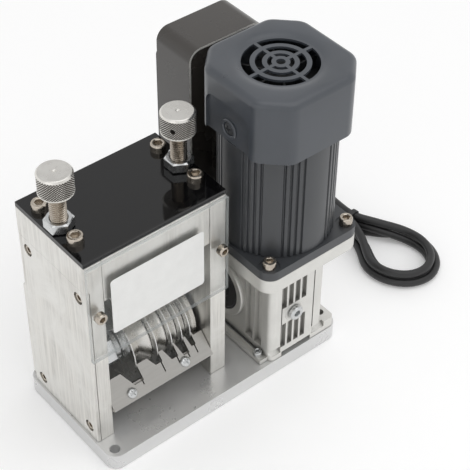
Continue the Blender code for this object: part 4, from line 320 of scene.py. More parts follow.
# Brushed and clear-anodised aluminium: fine upright grain, drawn 2 mm wide so that it
# shows, and a soft sheen without sharp reflections
brushed_aluminium = blank("brushed_anodised_aluminium")
spot = add(brushed_aluminium, "TexCoord").outputs["Object"]
stretch = add(brushed_aluminium, "Mapping", {"Vector": spot,
                                             "Scale": (1000 / 1.923, 1000 / 1.923, 1000 / 62.5)})
grain = add(brushed_aluminium, "TexNoise", {"Vector": stretch, "Scale": 1, "Detail": 4, "Roughness": 0.6})
patch = add(brushed_aluminium, "TexNoise", {"Vector": spot, "Scale": 1000 / 33.33, "Detail": 6,
                                            "Roughness": 0.62, "Distortion": 0.8})
cloudy = add(brushed_aluminium, "MapRange", {"Value": patch, "From Min": 0.36, "From Max": 0.66})
fleck = add(brushed_aluminium, "TexNoise", {"Vector": spot, "Scale": 1000 / 2.381, "Detail": 2})
streaks = add(brushed_aluminium, "MapRange", {"Value": grain, "From Min": 0.36, "From Max": 0.64})
tone = add(brushed_aluminium, "Mix", {0: streaks, 6: colour("#C7C5C0"), 7: colour("#E6E4DF")},
           data_type="RGBA")
tone = add(brushed_aluminium, "Mix", {0: cloudy, 6: tone.outputs[2], 7: colour("#E3E2DE")}, data_type="RGBA")
gloss = add(brushed_aluminium, "MapRange", {"Value": grain, "From Min": 0.25, "From Max": 0.75,
                                            "To Min": 0.30, "To Max": 0.46})
rough = add(brushed_aluminium, "Bump", {"Height": fleck, "Strength": 0.10, "Distance": 0.00003})
scratch = add(brushed_aluminium, "Bump", {"Height": grain, "Strength": 0.30, "Distance": 0.00005,
                                          "Normal": rough})
face = add(brushed_aluminium, "BsdfPrincipled", {"Base Color": tone.outputs[2], "Metallic": 1,
                                                 "Roughness": gloss, "Normal": scratch})
add(brushed_aluminium, "OutputMaterial", {"Surface": face})

front, rear, shaft_y, cutter_z, roller_z = -34.7, 45.3, 5.3, 57.5, 112
head_left, head_right, foot, wall_top = -108.5, 10.5, 14.3, 189


def crosswise(form, x, height=cutter_z, way=1):
    """A form whose own Z is laid along X, to the right or the left, on the shaft's or the roller's line."""
    return moved(form, along((way, 0, 0), (x, shaft_y, height)))


for name, outer, inner, side in (("left_wall", head_left, -94.5, 1), ("right_wall", head_right, -3.5, -1)):
    wall = block((min(outer, inner), front, foot), (max(outer, inner), rear, wall_top))
    skin, mouth = sorted((outer + side * 3, inner + side * 2))
    tools = [block((skin, shaft_y - 18, roller_z - 20.6), (mouth, shaft_y + 18, roller_z + 28.6)),
             block((skin, shaft_y - 6.5, roller_z + 26.6), (mouth, shaft_y + 6.5, 191)),
             crosswise(turned([(13, 0), (13, 5.7), (17.8, 5.7), (17.8, 18)]), outer - side * 2, way=side)]
    if side == 1:
        tools.append(block((outer - 2, front - 2, 12), (outer + 3.3, rear + 2, 165.3)))
    plate = piece(name + "_plate", worked(wall, *tools), brushed_aluminium, edge=0.4)
    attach(plate, "frame")
    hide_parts(name)


# Screws: bought socket cap screws and cross-recessed pan heads, cold headed from steel and plated with nickel
# or zinc. The threads are out of sight, so only the heads are made.

# Bright zinc plate on steel: cool silver with a soft mottled gloss
zinc = mottled("bright_zinc_plated_steel", (3.333, 3), ("#BDBFC1", "#D6D7D6"), (0.18, 0.34), (0.08, 0.02),
               more={"Metallic": 1})


# Nickel plate on steel: warmer and a little darker than zinc, with clearer reflections
nickel = mottled("nickel_plated_steel", (2.857, 3), ("#A0968A", "#CFC7BC"), (0.14, 0.28), (0.1, 0.02),
                 more={"Metallic": 1})


def hexagon(flat, height, steps=48):
    """A hexagon with points along its sides too, so that it meets a circle of as many points."""
    points = []
    for i in range(steps):
        angle = 2 * pi * i / steps
        fold = (angle + pi / 6) % (pi / 3) - pi / 6
        points.append(Vector((flat / cos(fold) * cos(angle), flat / cos(fold) * sin(angle), height)))
    return points


def cap_screw(head=5, height=6, key=2.5):
    """A socket cap screw seated on Z = 0: chamfered knurled head, deep hexagon socket."""
    rings = [circle(head, 0, 48)]
    for z in (0.2, height - 1.2):
        rings.append([Vector((x.x * (0.985 if i % 2 else 1), x.y * (0.985 if i % 2 else 1), z))
                      for i, x in enumerate(circle(head, z, 48))])
    rings += [circle(head * 0.98, height - 0.9, 48), circle(head * 0.9, height - 0.15, 48),
              circle(head * 0.82, height, 48), circle(key * 1.28, height, 48), hexagon(key, height - 0.35),
              hexagon(key, height - 3.2), circle(0.2, height - 3.6, 48)]
    return loft(rings)


def pan_screw(head=4.2, height=2.8):
    """A pan-head screw seated on Z = 0, with a cross recess."""
    dome = turned([(head * 0.96, 0), (head, 0.3), (head * 0.98, 0.9), (head * 0.88, height * 0.62),
                   (head * 0.66, height * 0.88), (head * 0.36, height * 0.98), (0.1, height)], 40)
    bars = [moved(block((-head * 0.56, -0.42, height - 1.5), (head * 0.56, 0.42, height + 1)),
                  Matrix.Rotation(turn, 4, "Z")) for turn in (0.35, 0.35 + pi / 2)]
    return worked(dome, *bars)


def screws(name, make, places, finish=zinc):
    """Copies of one screw, each at (seat, direction of its head), as one piece on the frame."""
    item = piece(name, together([moved(make(), along(way, seat)) for seat, way in places]), finish)
    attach(item, "frame")


# Left cover: a 3 mm brushed aluminium plate over the shaft's end, sunk flush into the left wall. Four low
# nickel-plated socket screws sit in counterbores in its corners.
cover_seats = [((-105.8, y, z), (-1, 0, 0)) for y in (-24.7, 35.3) for z in (24, 155)]
sunk = [rod(4.7, -2, 5, along(way, seat)) for seat, way in cover_seats]
cover = piece("side_cover", worked(block((head_left, front, foot), (-105.5, rear, 165)), *sunk),
              brushed_aluminium, edge=0.45)
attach(cover, "frame")
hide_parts("left_cover")
screws("side_cover_screws", lambda: cap_screw(3.9, 2.0, 2.0),
       [((-105.6, y, z), way) for (_, y, z), way in cover_seats], nickel)


# Crossbars: two 10 mm brushed aluminium bars under the top plate, at the front and at the rear. Each is
# milled to a short leg at either end and bolted between the walls.
bay_left, bay_right = -94.2, -3.8
for name, near in (("front_crossbar", front), ("rear_crossbar", rear - 10)):
    outline = [(151, bay_left), (151, -87.2), (163, -87.2), (163, -10.8), (151, -10.8), (151, bay_right),
               (wall_top, bay_right), (wall_top, bay_left)]
    bar = piece(name + "_bar", prism(outline, near, near + 10, "Y"), brushed_aluminium, edge=0.4)
    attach(bar, "frame")
    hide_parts(name)


# Top plate: 4 mm black cast acrylic, laser cut and flame polished. Four nickel-plated socket cap screws hold
# it down, and the two adjusting studs pass through it.

# Black cast acrylic: a deep wet black that mirrors the knobs, with a few hairline wipe marks
black_acrylic = blank("polished_black_acrylic")
spot = add(black_acrylic, "TexCoord").outputs["Object"]
smear = add(black_acrylic, "Mapping", {"Vector": spot, "Scale": (1000 / 55.56, 1000 / 6.25, 1000 / 16.67),
                                       "Rotation": (0, 0, 0.5)})
wipe = add(black_acrylic, "TexNoise", {"Vector": smear, "Scale": 1, "Detail": 5, "Roughness": 0.7})
gloss = add(black_acrylic, "MapRange", {"Value": wipe, "From Min": 0.35, "From Max": 0.75, "To Min": 0.02,
                                        "To Max": 0.11})
wave = add(black_acrylic, "TexNoise", {"Vector": spot, "Scale": 1000 / 41.67, "Detail": 2})
flow = add(black_acrylic, "Bump", {"Height": wave, "Strength": 0.05, "Distance": 0.0004})
tint = add(black_acrylic, "Mix", {0: wipe, 6: colour("#060607"), 7: colour("#0E0E0F")}, data_type="RGBA")
face = add(black_acrylic, "BsdfPrincipled", {"Base Color": tint.outputs[2], "Roughness": gloss, "IOR": 1.49,
                                             "Normal": flow})
add(black_acrylic, "OutputMaterial", {"Surface": face})

knob_x, plate_top = (-99, 1), 193.3
bores = [rod(6.2, -1, 6, at(x, shaft_y, wall_top)) for x in knob_x]
plate = worked(block((head_left, front, plate_top - 4), (head_right, rear, plate_top)), *bores)
plate = piece("top_cover", plate, black_acrylic, edge=0.5)
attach(plate, "frame")
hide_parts("top_plate")
top_seats = [((x, y, plate_top), (0, 0, 1)) for x in knob_x for y in (-13, 29)]
screws("top_cap_screws", lambda: cap_screw(5.9, 5.6, 3), top_seats, nickel)


# Guard: a 3 mm clear acrylic sheet over the blades, screwed to the wall fronts.
# A plain panel of white vinyl film is stuck on the middle of it.

# Clear acrylic: only the white gleam on its face and the greyer saw-cut edges show that it is there
clear_acrylic = blank("clear_acrylic_sheet")
spot = add(clear_acrylic, "TexCoord").outputs["Object"]
haze = add(clear_acrylic, "TexNoise", {"Vector": spot, "Scale": 1000 / 11.11, "Detail": 4})
gloss = add(clear_acrylic, "MapRange", {"Value": haze, "From Min": 0.35, "From Max": 0.7, "To Min": 0.03,
                                        "To Max": 0.10})
clarity = add(clear_acrylic, "MapRange", {"Value": haze, "From Min": 0.3, "From Max": 0.7, "To Min": 0.05,
                                          "To Max": 0.09})
face = add(clear_acrylic, "BsdfPrincipled", {"Base Color": colour("#B4B8B8"), "Roughness": gloss, "IOR": 1.49,
                                             "Alpha": clarity})
add(clear_acrylic, "OutputMaterial", {"Surface": face})
# Saw-cut acrylic edge: light gathers there, so it is greyer and nearly opaque
cut_acrylic = blank("saw_cut_acrylic_edge")
spot = add(cut_acrylic, "TexCoord").outputs["Object"]
saw = add(cut_acrylic, "TexWave", {"Vector": spot, "Scale": 100 * pi / 1.2083, "Distortion": 3, "Detail": 2},
          bands_direction="Y")
depth = add(cut_acrylic, "Mix", {0: saw, 6: colour("#A9AEAE"), 7: colour("#CDD1D1")}, data_type="RGBA")
notch = add(cut_acrylic, "Bump", {"Height": saw, "Strength": 0.2, "Distance": 0.00005})
face = add(cut_acrylic, "BsdfPrincipled", {"Base Color": depth.outputs[2], "Roughness": 0.35, "Alpha": 0.5,
                                           "Normal": notch})
add(cut_acrylic, "OutputMaterial", {"Surface": face})

guard = piece("guard_sheet", block((head_left, -38, 101), (head_right, -35, 188.5)), clear_acrylic, edge=0.3)
guard.data.materials.append(cut_acrylic)
for side in guard.data.polygons:
    side.material_index = 0 if abs(side.normal.y) > 0.5 else 1
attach(guard, "frame")
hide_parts("guard_panel")
screws("guard_screws", lambda: cap_screw(4.3, 4.8, 2.1),
       [((x, -38, 144), (0, -1, 0)) for x in (-101.5, 3.5)], nickel)

# White vinyl film: very slightly warm, a low gloss, small ripples where it was smoothed on
white_vinyl = mottled("plain_white_vinyl_film", (8.333, 3), ("#E6E6E4", "#F2F2F0"), (0.38, 0.38),
                      (0.12, 0.12))
outline = facing(rounded(rectangle(-90.6, -11.8, 120, 170), 2.5, 8))
film = piece("blank_panel", prism(outline, -38.16, -38.01, "Y"), white_vinyl, edge=0.05)
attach(film, "frame")


# Outlet tray: an anodised aluminium chute at 45 degrees, sawn to a notch and a slit for each blade. It is
# screwed to a bar between the walls.

# Satin-anodised aluminium sheet: greyer than the walls, its roll marks running across the chute
satin_sheet = blank("satin_anodised_sheet")
spot = add(satin_sheet, "TexCoord").outputs["Object"]
rolled = add(satin_sheet, "Mapping", {"Vector": spot, "Scale": (1000 / 33.33, 1000 / 1.4286, 1000 / 1.4286)})
grain = add(satin_sheet, "TexNoise", {"Vector": rolled, "Scale": 1, "Detail": 4})
patch = add(satin_sheet, "TexNoise", {"Vector": spot, "Scale": 1000 / 16.67, "Detail": 5})
tone = add(satin_sheet, "Mix", {0: grain, 6: colour("#A3A19D"), 7: colour("#BAB8B4")}, data_type="RGBA")
tone = add(satin_sheet, "Mix", {0: patch, 6: tone.outputs[2], 7: colour("#B3B1AD")}, data_type="RGBA")
gloss = add(satin_sheet, "MapRange", {"Value": patch, "From Min": 0.3, "From Max": 0.7, "To Min": 0.30,
                                      "To Max": 0.44})
skin = add(satin_sheet, "Bump", {"Height": grain, "Strength": 0.2, "Distance": 0.00004})
face = add(satin_sheet, "BsdfPrincipled", {"Base Color": tone.outputs[2], "Metallic": 1, "Roughness": gloss,
                                           "Normal": skin})
add(satin_sheet, "OutputMaterial", {"Surface": face})

tray_place = at(0, -22.5, 56.5) @ Matrix.Rotation(radians(45), 4, "X")
blade_x = (-14.3, -21.9, -31.3, -44.61, -64.31)
outline = [(bay_left, -22.6), (bay_right, -22.6), (bay_right, -2.2), (-11.7, -2.2), (-11.7, 0)]
for x, width, deep in zip(blade_x, (2.6, 5.4, 7.0, 7.7, 12.0), (9.0, 12.0, 10.0, 7.5, 12.5)):
    near, far, tip = x + 1.3, x - 1.3 - width, x - 1.3 - width * 0.45
    outline += [(near, 0), (near, -deep), (x + 0.45, -deep), (x + 0.45, -15.5), (x - 0.45, -15.5),
                (x - 0.45, -deep), (tip, -deep), (far, 0)]
outline.append((bay_left, 0))
tray = piece("chute", moved(prism(outline, -3, 0), tray_place), satin_sheet, edge=0.25, steps=2)
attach(tray, "frame")
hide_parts("outlet_tray")
bar = piece("chute_bar", moved(block((bay_left, -22, -11.3), (bay_right, -11, -3.3)), tray_place),
            satin_sheet, edge=0.4)
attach(bar, "frame")
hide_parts("tray_bar")
tray_seats = [((x, -33.96, 44.62), (0, -sqrt(0.5), sqrt(0.5))) for x in (-76, -27.3)]
screws("chute_screws", pan_screw, tray_seats)


# Inlet guide: a 7.7 mm brushed aluminium plate screwed across the back of the walls. A graded row of flared
# wire holes and a slot for flat cable are drilled and milled through it, level with the nip of the rollers.
nip = cutter_z + 24.6 + (roller_z - cutter_z - 24.6 - 26) / 2
tools = []
for x, radius in zip((-18.1, -26.6, -37.96, -54.46), (2.0, 2.8, 4.0, 5.0)):
    tools.append(moved(turned([(radius, -2), (radius, 3.85), (radius + 0.5, 6), (radius + 1.3, 8.2)], 48),
                       along((0, 1, 0), (x, rear + 0.3, nip))))
slot = rounded(rectangle(-85.31, -73.31, nip - 3, nip + 3), 2.7, 8)
tools.append(prism(facing(slot), 43, 56, "Y"))
inlet = piece("wire_guide", worked(block((-105.5, rear + 0.3, foot), (head_right, 53.3, 108)), *tools),
              brushed_aluminium, edge=0.4, steps=2)
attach(inlet, "frame")
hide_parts("inlet_guide")
inlet_seats = [((x, 53.2, z), (0, 1, 0)) for x in (-100, 3.5) for z in (24, 98)]
screws("wire_guide_screws", pan_screw, inlet_seats)


# Cutter stack: five bevelled disc blades of ground tool steel with V-grooved aluminium spacers turned to fit
# between them, all on one shaft and drawn up by a nut.

# Ground and polished tool steel: nearly a mirror, with rings from the grinding wheel
wheel_rings = ("TexWave", {"Scale": 100 * pi / 0.748, "Distortion": 0.6, "Detail": 2},
               {"wave_type": "RINGS", "rings_direction": "X"})
ground_steel = mottled("ground_tool_steel", (6.25, 4), ("#C9CACA", "#E9E8E5"), (0.20, 0.34), (0.22, 0.03),
                       wheel_rings, more={"Metallic": 1}, centre=(0, shaft_y, cutter_z))

for number, x in enumerate(reversed(blade_x), 1):
    profile = [(8.8, -1), (26.4, -1), (26.9, -0.97), (29.2, -0.5), (29.5, -0.3), (29.5, 0.3), (29.2, 0.5),
               (26.9, 0.97), (26.4, 1), (8.8, 1)]
    disc = piece(f"blade_disc_{number}", crosswise(turned(profile, 96, bored=True), x), ground_steel,
                 smooth=12)
    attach(disc, "cutter")
    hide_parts(f"blade_{number}")

# Turned aluminium: bright rims and a darker groove with the fine spiral of the lathe tool
lathe_spiral = ("TexWave", {"Scale": 100 * pi / 0.6042, "Distortion": 0.4, "Detail": 1},
                {"bands_direction": "X"})
turned_aluminium = mottled("lathe_turned_aluminium", (7.692, 4), ("#C6C4BF", "#E2E0DC"), (0.20, 0.36),
                           (0.25, 0.04), lathe_spiral, more={"Metallic": 1})

spacer_x = (-54.46, -37.96, -26.6, -18.1)
for number, (x, width) in enumerate(zip(spacer_x, (17.1, 10.7, 6.8, 5.0)), 1):
    side, rim, deep = width / 2, width / 2 - 1.1, 24.6 - width * 0.34
    profile = [(8.8, -side), (24.2, -side), (24.6, -side + 0.3), (24.6, -rim - 0.1), (24.4, -rim + 0.1),
               (deep + 0.4, -0.35), (deep, 0), (deep + 0.4, 0.35), (24.4, rim - 0.1), (24.6, rim + 0.1),
               (24.6, side - 0.3), (24.2, side), (8.8, side)]
    spacer = piece(f"grooved_spacer_{number}", crosswise(turned(profile, 96, bored=True), x),
                   turned_aluminium, smooth=18)
    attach(spacer, "cutter")
    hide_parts(f"spacer_{number}")

profile = [(8.8, 0), (24.2, 0), (24.6, 0.3), (23.9, 1.5), (24.2, 1.9), (26.1, 3.3), (26.4, 3.7), (26.4, 6.6),
           (26.0, 7.0), (8.8, 7.0)]
flange = piece("stack_flange", crosswise(turned(profile, 96, bored=True), -13), turned_aluminium, smooth=18)
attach(flange, "cutter")
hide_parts("end_flange")

rings = [circle(8.8, 0, 48), circle(11.9, 0, 48), hexagon(13.5, 0.9), hexagon(13.5, 9.1)]
rings += [circle(radius, x, 48) for radius, x in ((13.3, 10), (14, 10.3), (14, 13.6), (13.6, 14), (8.8, 14))]
nut = piece("draw_nut", crosswise(loft(rings, closed=True), -79.61), zinc, smooth=12)
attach(nut, "cutter")
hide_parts("stack_nut")

# The shaft is one turned bar from the left cover to the worm wheel, stepped down where it enters the gearbox
profile = [(8.0, -105), (8.5, -104.5), (8.5, 12.2), (8.2, 12.5), (7, 12.5), (7, 95.8), (6.6, 96.2)]
shaft = piece("drive_shaft", crosswise(turned(profile), 0), ground_steel)
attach(shaft, "cutter")
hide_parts("cutter_shaft")


# Pressure roller: a knurled aluminium roller grooved opposite each blade, turned in one with its journals.
# Its ends run in two ball bearings in blocks that slide in the walls and are pushed down by the studs.
profile = [(6, -86.8), (6, -77.6), (9, -77.6), (9, -77), (25.4, -77), (26, -76.4)]
for x in reversed(blade_x):
    profile += [(26, x - 2.0), (25.8, x - 1.8), (21.8, x - 1.8)]
    profile += [(21.8, x + 1.8), (25.8, x + 1.8), (26, x + 2.0)]
profile += [(26, -8.1), (25.4, -7.5), (9, -7.5), (9, -7.0), (6, -7.0), (6, -3.2)]
ridged = []
for radius, x in profile:
    ring = circle(radius, x, 180)
    if radius > 25.9:
        ring = [Vector((p.x * (0.984 if i % 3 == 0 else 1), p.y * (0.984 if i % 3 == 0 else 1), p.z))
                for i, p in enumerate(ring)]
    ridged.append(ring)
roller = piece("grip_roller", crosswise(loft(ridged), 0, roller_z), turned_aluminium, smooth=22)
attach(roller, "pressure_roller")
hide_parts("feed_roller")

for name, near, far, stud_x in (("left", -105.2, -92.8, -99), ("right", -5.2, 7.2, 1)):
    mouth, way = (far, -1) if name == "left" else (near, 1)
    seat = crosswise(turned([(14.3, -2), (14.3, 8.3)]), mouth, roller_z, way)
    hole = rod(5.3, -2.7, 2, at(stud_x, shaft_y, roller_z + 18))
    blank_block = block((near, shaft_y - 17.7, roller_z - 18), (far, shaft_y + 17.7, roller_z + 18))
    slider = piece(name + "_slider", worked(blank_block, seat, hole), brushed_aluminium, edge=0.5)
    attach(slider, "carriage")
    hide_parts(name + "_block")

# Ball bearings: an outer race, an inner race and the pressed shield between them, all chrome steel
shaft_ring, roller_ring = ("frame", cutter_z, 17.5, 9.0, 10), ("carriage", roller_z, 14, 6.5, 8)
for name, x, way, (body, height, outer, inner, width) in (
        ("left_shaft_bearing", -104.5, 1, shaft_ring), ("right_shaft_bearing", -3.5, 1, shaft_ring),
        ("left_roller_bearing", -92.8, -1, roller_ring), ("right_roller_bearing", -5.2, 1, roller_ring)):
    race = (outer - inner) * 0.22
    profile = [(inner, 0.3), (inner + 0.3, 0), (inner + race, 0), (inner + race, 0.7), (outer - race, 0.7),
               (outer - race, 0), (outer - 0.3, 0), (outer, 0.3), (outer, width - 0.3), (outer - 0.3, width),
               (outer - race, width), (outer - race, width - 0.7), (inner + race, width - 0.7),
               (inner + race, width), (inner + 0.3, width), (inner, width - 0.3)]
    ring = piece(name + "_races", crosswise(turned(profile, bored=True), x, height, way), ground_steel,
                 smooth=25)
    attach(ring, body)
    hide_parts(name)


# Adjusters: a knurled aluminium knob each side on a threaded stud, M12 above the top plate and turned down to
# M10 below it. A zinc-plated hexagon nut locks each stud on the plate.

def thread(radius, pitch, low, high, steps=40):
    """A screw thread as a ridged skin that climbs one pitch each turn."""
    skin = bmesh.new()
    turns = int((high - low) / pitch)
    marks = ((0.0, radius), (0.14, radius), (0.5, radius - 0.62 * pitch), (0.64, radius - 0.62 * pitch))
    rows = []
    for turn in range(turns):
        for share, reach in marks:
            rows.append([skin.verts.new((reach * cos(2 * pi * j / steps), reach * sin(2 * pi * j / steps),
                                         low + (turn + share + j / steps) * pitch)) for j in range(steps)])
    for r, row in enumerate(rows[:-1]):
        for j in range(steps - 1):
            skin.faces.new((row[j], row[j + 1], rows[r + 1][j + 1], rows[r + 1][j]))
        if r + 5 < len(rows):
            skin.faces.new((row[-1], rows[r + 4][0], rows[r + 5][0], rows[r + 1][-1]))
    return skin


def knurled(radius, low, high, teeth=40, depth=0.6, columns=240):
    """A cylinder with a diamond knurl pressed into it, capped by chamfers that the knurl runs out on."""
    rows = 6 * round((high - low) / (2 * pi * radius / teeth))
    rings = []
    for r in range(rows + 1):
        z = low + (high - low) * r / rows
        fade = min(1, (z - low) / 0.5, (high - z) / 0.5)
        ring = []
        for i in range(columns):
            grooves = [abs(((i * teeth / columns + way * r / 6) % 1) - 0.5) * 2 for way in (1, -1)]
            reach = radius - depth * fade * (1 - min(grooves))
            ring.append(Vector((reach * cos(2 * pi * i / columns), reach * sin(2 * pi * i / columns), z)))
        rings.append(ring)
    return rings


# Knurled knob aluminium: matt silver that breaks into small bright diamonds, the top faced off in rings
knob_aluminium = mottled("knurled_aluminium", (4.545, 3), ("#D6D3CD", "#EDEBE6"), (0.24, 0.40), (0.12, 0.04),
                         more={"Metallic": 1})

# Painted shade for the knurl's grooves and the thread roots: the same metal darkened, so the diamonds stand
# out
groove_painted_shade = mottled("painted_shade_in_grooves", (3.846, 3), ("#4A4742", "#68635D"), (0.4, 0.6), window=(0, 1),
                       more={"Metallic": 0.6})

for name, x, bearing in (("left", knob_x[0], radians(55)), ("right", knob_x[1], radians(-145))):
    owner = name + "_adjuster"
    hole_way = (cos(bearing), sin(bearing), 0)
    under = [(5.3, 12), (5.3, 0.4), (5.7, 0), (11.4, 0), (12.2, 0.9)]
    over = [(12.35, 16.7), (11.5, 17.7), (11.2, 17.9), (10.9, 18)]
    # Facing marks left by the lathe on the top, 0.06 mm deep, drawn coarser than real so that they show
    over += [(10.4 - k, 17.94 if k % 2 else 18) for k in range(9)] + [(1.6, 17.9), (1.2, 17.4), (0.15, 17.0)]
    body = loft([circle(radius, z, 240) for radius, z in under] + knurled(12.5, 1.3, 16.4)
                + [circle(radius, z, 240) for radius, z in over])
    drill = rod(1.9, 6, 14, along(hole_way, (0, 0, 8.5)), 32)
    knob_form = moved(worked(body, drill), at(x, shaft_y, 223.5))
    knob = piece(name + "_knurled_knob", knob_form, knob_aluminium, smooth=14)
    knob.data.materials.append(groove_painted_shade)
    knob.data.materials.append(turned_aluminium)
    # Top faces take the turned finish; faces deep in the knurl's grooves take the painted groove shade
    for side in knob.data.polygons:
        reach = (side.center.xy - Vector((x, shaft_y)) / 1000).length
        if side.normal.z > 0.8 and side.center.z > 0.24:
            side.material_index = 2
        elif 0.2248 < side.center.z < 0.24 and reach < 0.0121:
            side.material_index = 1
    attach(knob, owner)
    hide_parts(name + "_knob")
    tip = turned([(3.6, 127.6), (4.4, 128.4), (4.4, 130)], 40)
    core = turned([(4.1, 128), (4.1, 237)], 40)
    shoulder = turned([(5, 190.6), (5.8, 191.6), (4, 191.6)], 40)
    threads = [thread(5.0, 1.5, 129, 190), shoulder, thread(5.9, 1.75, 191.6, 233)]
    form = together([core, tip, *threads, turned([(4.9, 191.6), (4.9, 234)], 40)])
    stud = piece(name + "_threaded_stud", moved(form, at(x, shaft_y, 0)), nickel, smooth=25)
    stud.data.materials.append(groove_painted_shade)
    # Faces of the thread roots and core above the plate take the painted groove shade
    for side in stud.data.polygons:
        reach = (side.center.xy - Vector((x, shaft_y)) / 1000).length
        side.material_index = 1 if reach < 0.0053 and side.center.z > 0.192 else 0
    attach(stud, owner)
    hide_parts(name + "_stud")
    rings = [circle(6.1, 0, 48), circle(8.7, 0, 48), hexagon(9.2, 0.8), hexagon(9.2, 7.2), circle(8.7, 8, 48),
             circle(6.7, 8, 48), circle(6.1, 7.3, 48)]
    form = moved(loft(rings, closed=True), at(x, shaft_y, plate_top + 0.3))
    lock = piece(name + "_hex_nut", form, zinc, smooth=12)
    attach(lock, name + "_nut")
    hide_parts(name + "_lock_nut")


# Worm gearbox: a die-cast aluminium housing with ribbed panels, cored corner pockets, a round output boss on
# the left with a black shaft seal, an oil plug in front and a round cover on the right over the worm wheel.

# Die-cast aluminium, shot blasted: pale, matt and slightly pebbled, with painted shade darkening its corners
# and pockets
cast_aluminium = blank("shot_blasted_cast_aluminium")
spot = add(cast_aluminium, "TexCoord").outputs["Object"]
pebble = add(cast_aluminium, "TexNoise", {"Vector": spot, "Scale": 1000 / 1.111, "Detail": 4})
flow = add(cast_aluminium, "TexNoise", {"Vector": spot, "Scale": 1000 / 18.18, "Detail": 4})
# Painted shade: an occlusion mask darkens the colour in corners, pockets and between the ribs
corner = add(cast_aluminium, "AmbientOcclusion", {"Distance": 0.006}, samples=6)
painted_corner_shade = add(cast_aluminium, "MapRange", {"Value": corner.outputs["AO"], "From Min": 0.35, "From Max": 0.85})
tone = add(cast_aluminium, "Mix", {0: flow, 6: colour("#D2D1CD"), 7: colour("#E8E7E3")}, data_type="RGBA")
tone = add(cast_aluminium, "Mix", {0: painted_corner_shade, 6: colour("#9E9D9A"), 7: tone.outputs[2]}, data_type="RGBA")
gloss = add(cast_aluminium, "MapRange", {"Value": pebble, "From Min": 0.3, "From Max": 0.7, "To Min": 0.42,
                                         "To Max": 0.58})
skin = add(cast_aluminium, "Bump", {"Height": pebble, "Strength": 0.30, "Distance": 0.00008})
face = add(cast_aluminium, "BsdfPrincipled", {"Base Color": tone.outputs[2], "Metallic": 0.85,
                                              "Roughness": gloss, "Normal": skin})
add(cast_aluminium, "OutputMaterial", {"Surface": face})

left_x, right_x, near_y, far_y, floor, roof = 38.8, 92.2, -54.3, 45.3, 14.3, 108
motor_x, motor_y = 65.5, -24.8
motor_axis = at(motor_x, motor_y, 0)
plug_x = 61.5
tools = [block((left_x - 2, near_y + 12, floor - 2), (right_x + 2, far_y - 12, floor + 4.5)),
         block((left_x + 12, near_y - 2, floor - 2), (right_x - 12, far_y + 2, floor + 4.5))]
for x in (49.4, 55.9, 62.4, 68.9):
    for low, high in ((24.3, 49), (66, 102.5)):
        tools.append(block((x, near_y - 2, low), (x + 4.7, near_y + 3.4, high)))
for x0, x1 in ((left_x - 2, left_x + 4.2), (right_x - 4.2, right_x + 2)):
    for y0, y1 in ((-43.7, -35.25), (-33.45, -25.0), (35.6, 43.5)):
        tools.append(block((x0, y0, 24.3), (x1, y1, 102.5)))
for z in (22.5, 103.5):
    for x in (left_x + 4.25, right_x - 4.25):
        tools.append(rod(3.6, -6.5, 6.5, along((1, 0, 0), (x, near_y - 0.6, z)), 32))
for x in (left_x + 10.2, right_x - 11.2):
    tools.append(block((x, near_y - 2, 27), (x + 1, near_y + 0.9, 99)))
tools += [crosswise(turned([(22.8, 0), (22.8, 7), (12.5, 7), (12.5, 13.8), (24.5, 13.8), (24.5, 60.2)]), 34),
          rod(15, 23.3, 117.3, motor_axis),
          rod(2.3, 0, 6.2, along((0, 1, 0), (plug_x, near_y - 2, cutter_z)), 24)]
boss = crosswise(turned([(28.5, 0), (28.5, 3.9), (27.6, 4.8)], 96), 40.8, way=-1)
pad = moved(turned([(8.5, 0), (8.5, 2.1), (8.2, 2.3)]), along((0, -1, 0), (plug_x, near_y + 2, cutter_z)))
# Foot lugs: two on the right with open screw holes, and a ledge along the left foot with two cap screws
lugs = []
for low, high in ((near_y, near_y + 20), (far_y - 20, far_y)):
    lug = prism(rounded(rectangle(84, 105.5, low, high), 4, 8), floor, floor + 9.5)
    lugs.append(worked(lug, rod(3.2, -1, 12, at(99, (low + high) / 2, floor), 32)))
lugs.append(block((31.6, near_y + 3, floor), (43, far_y - 3, floor + 4.4)))
housing = prism(rounded(rectangle(left_x, right_x, near_y, far_y), 5, 10), floor, roof)
housing = worked(housing, boss, pad, *lugs, way="UNION")
case = piece("worm_housing", worked(housing, *tools), cast_aluminium, edge=0.6, steps=2)
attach(case, "frame")
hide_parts("gearbox_case")
foot_seats = [((35.2, y, floor + 4.4), (0, 0, 1)) for y in (near_y + 10, far_y - 10)]
screws("housing_foot_screws", lambda: cap_screw(3.4, 3.6, 1.8), foot_seats)

profile = [(12.5, -5), (24.2, -5), (24.2, 0), (31.4, 0), (32, 0.6), (32, 3.2), (31.2, 4), (17, 4), (16, 3.2),
           (12.5, 3.2)]
cap = piece("housing_cover", crosswise(turned(profile, 96, bored=True), 92.5), cast_aluminium, smooth=25)
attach(cap, "frame")
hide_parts("gearbox_cover")
cap_seats = [((96.5, y, z), (1, 0, 0)) for y in (25.45, -14.85) for z in (77.65, 37.35)]
screws("housing_cover_screws", lambda: pan_screw(4.1, 2.5), cap_seats)

# Nitrile rubber: soft black with a faint grey bloom, no clear highlight
nitrile = mottled("nitrile_rubber", (3.846, 4), ("#161617", "#2A2A2B"), (0.45, 0.7), (0.2, 0.06),
                  window=(0, 1))
profile = [(7.6, 0.9), (8.6, 0.4), (12.0, 1.4), (12.6, 0.5), (20.6, 0.5), (21.2, 0), (22.2, 0), (22.5, 0.4),
           (22.5, 4.7), (7.6, 4.7)]
seal = piece("lip_seal", crosswise(turned(profile, 80, bored=True), 36), nitrile)
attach(seal, "frame")
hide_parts("output_seal")

profile = ((2, -3.9), (2, 0), (5.7, 0), (6, 0.3), (6, 2.9), (5.4, 3.8), (4.8, 4), (3.3, 4))
rings = [circle(radius, z, 48) for radius, z in profile]
plug = loft(rings + [hexagon(2.5, 3.6), hexagon(2.5, 1), circle(0.2, 0.6, 48)])
plug = piece("drain_plug", moved(plug, along((0, -1, 0), (plug_x, near_y - 0.6, cutter_z))), zinc, smooth=25)
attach(plug, "frame")
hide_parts("oil_plug")


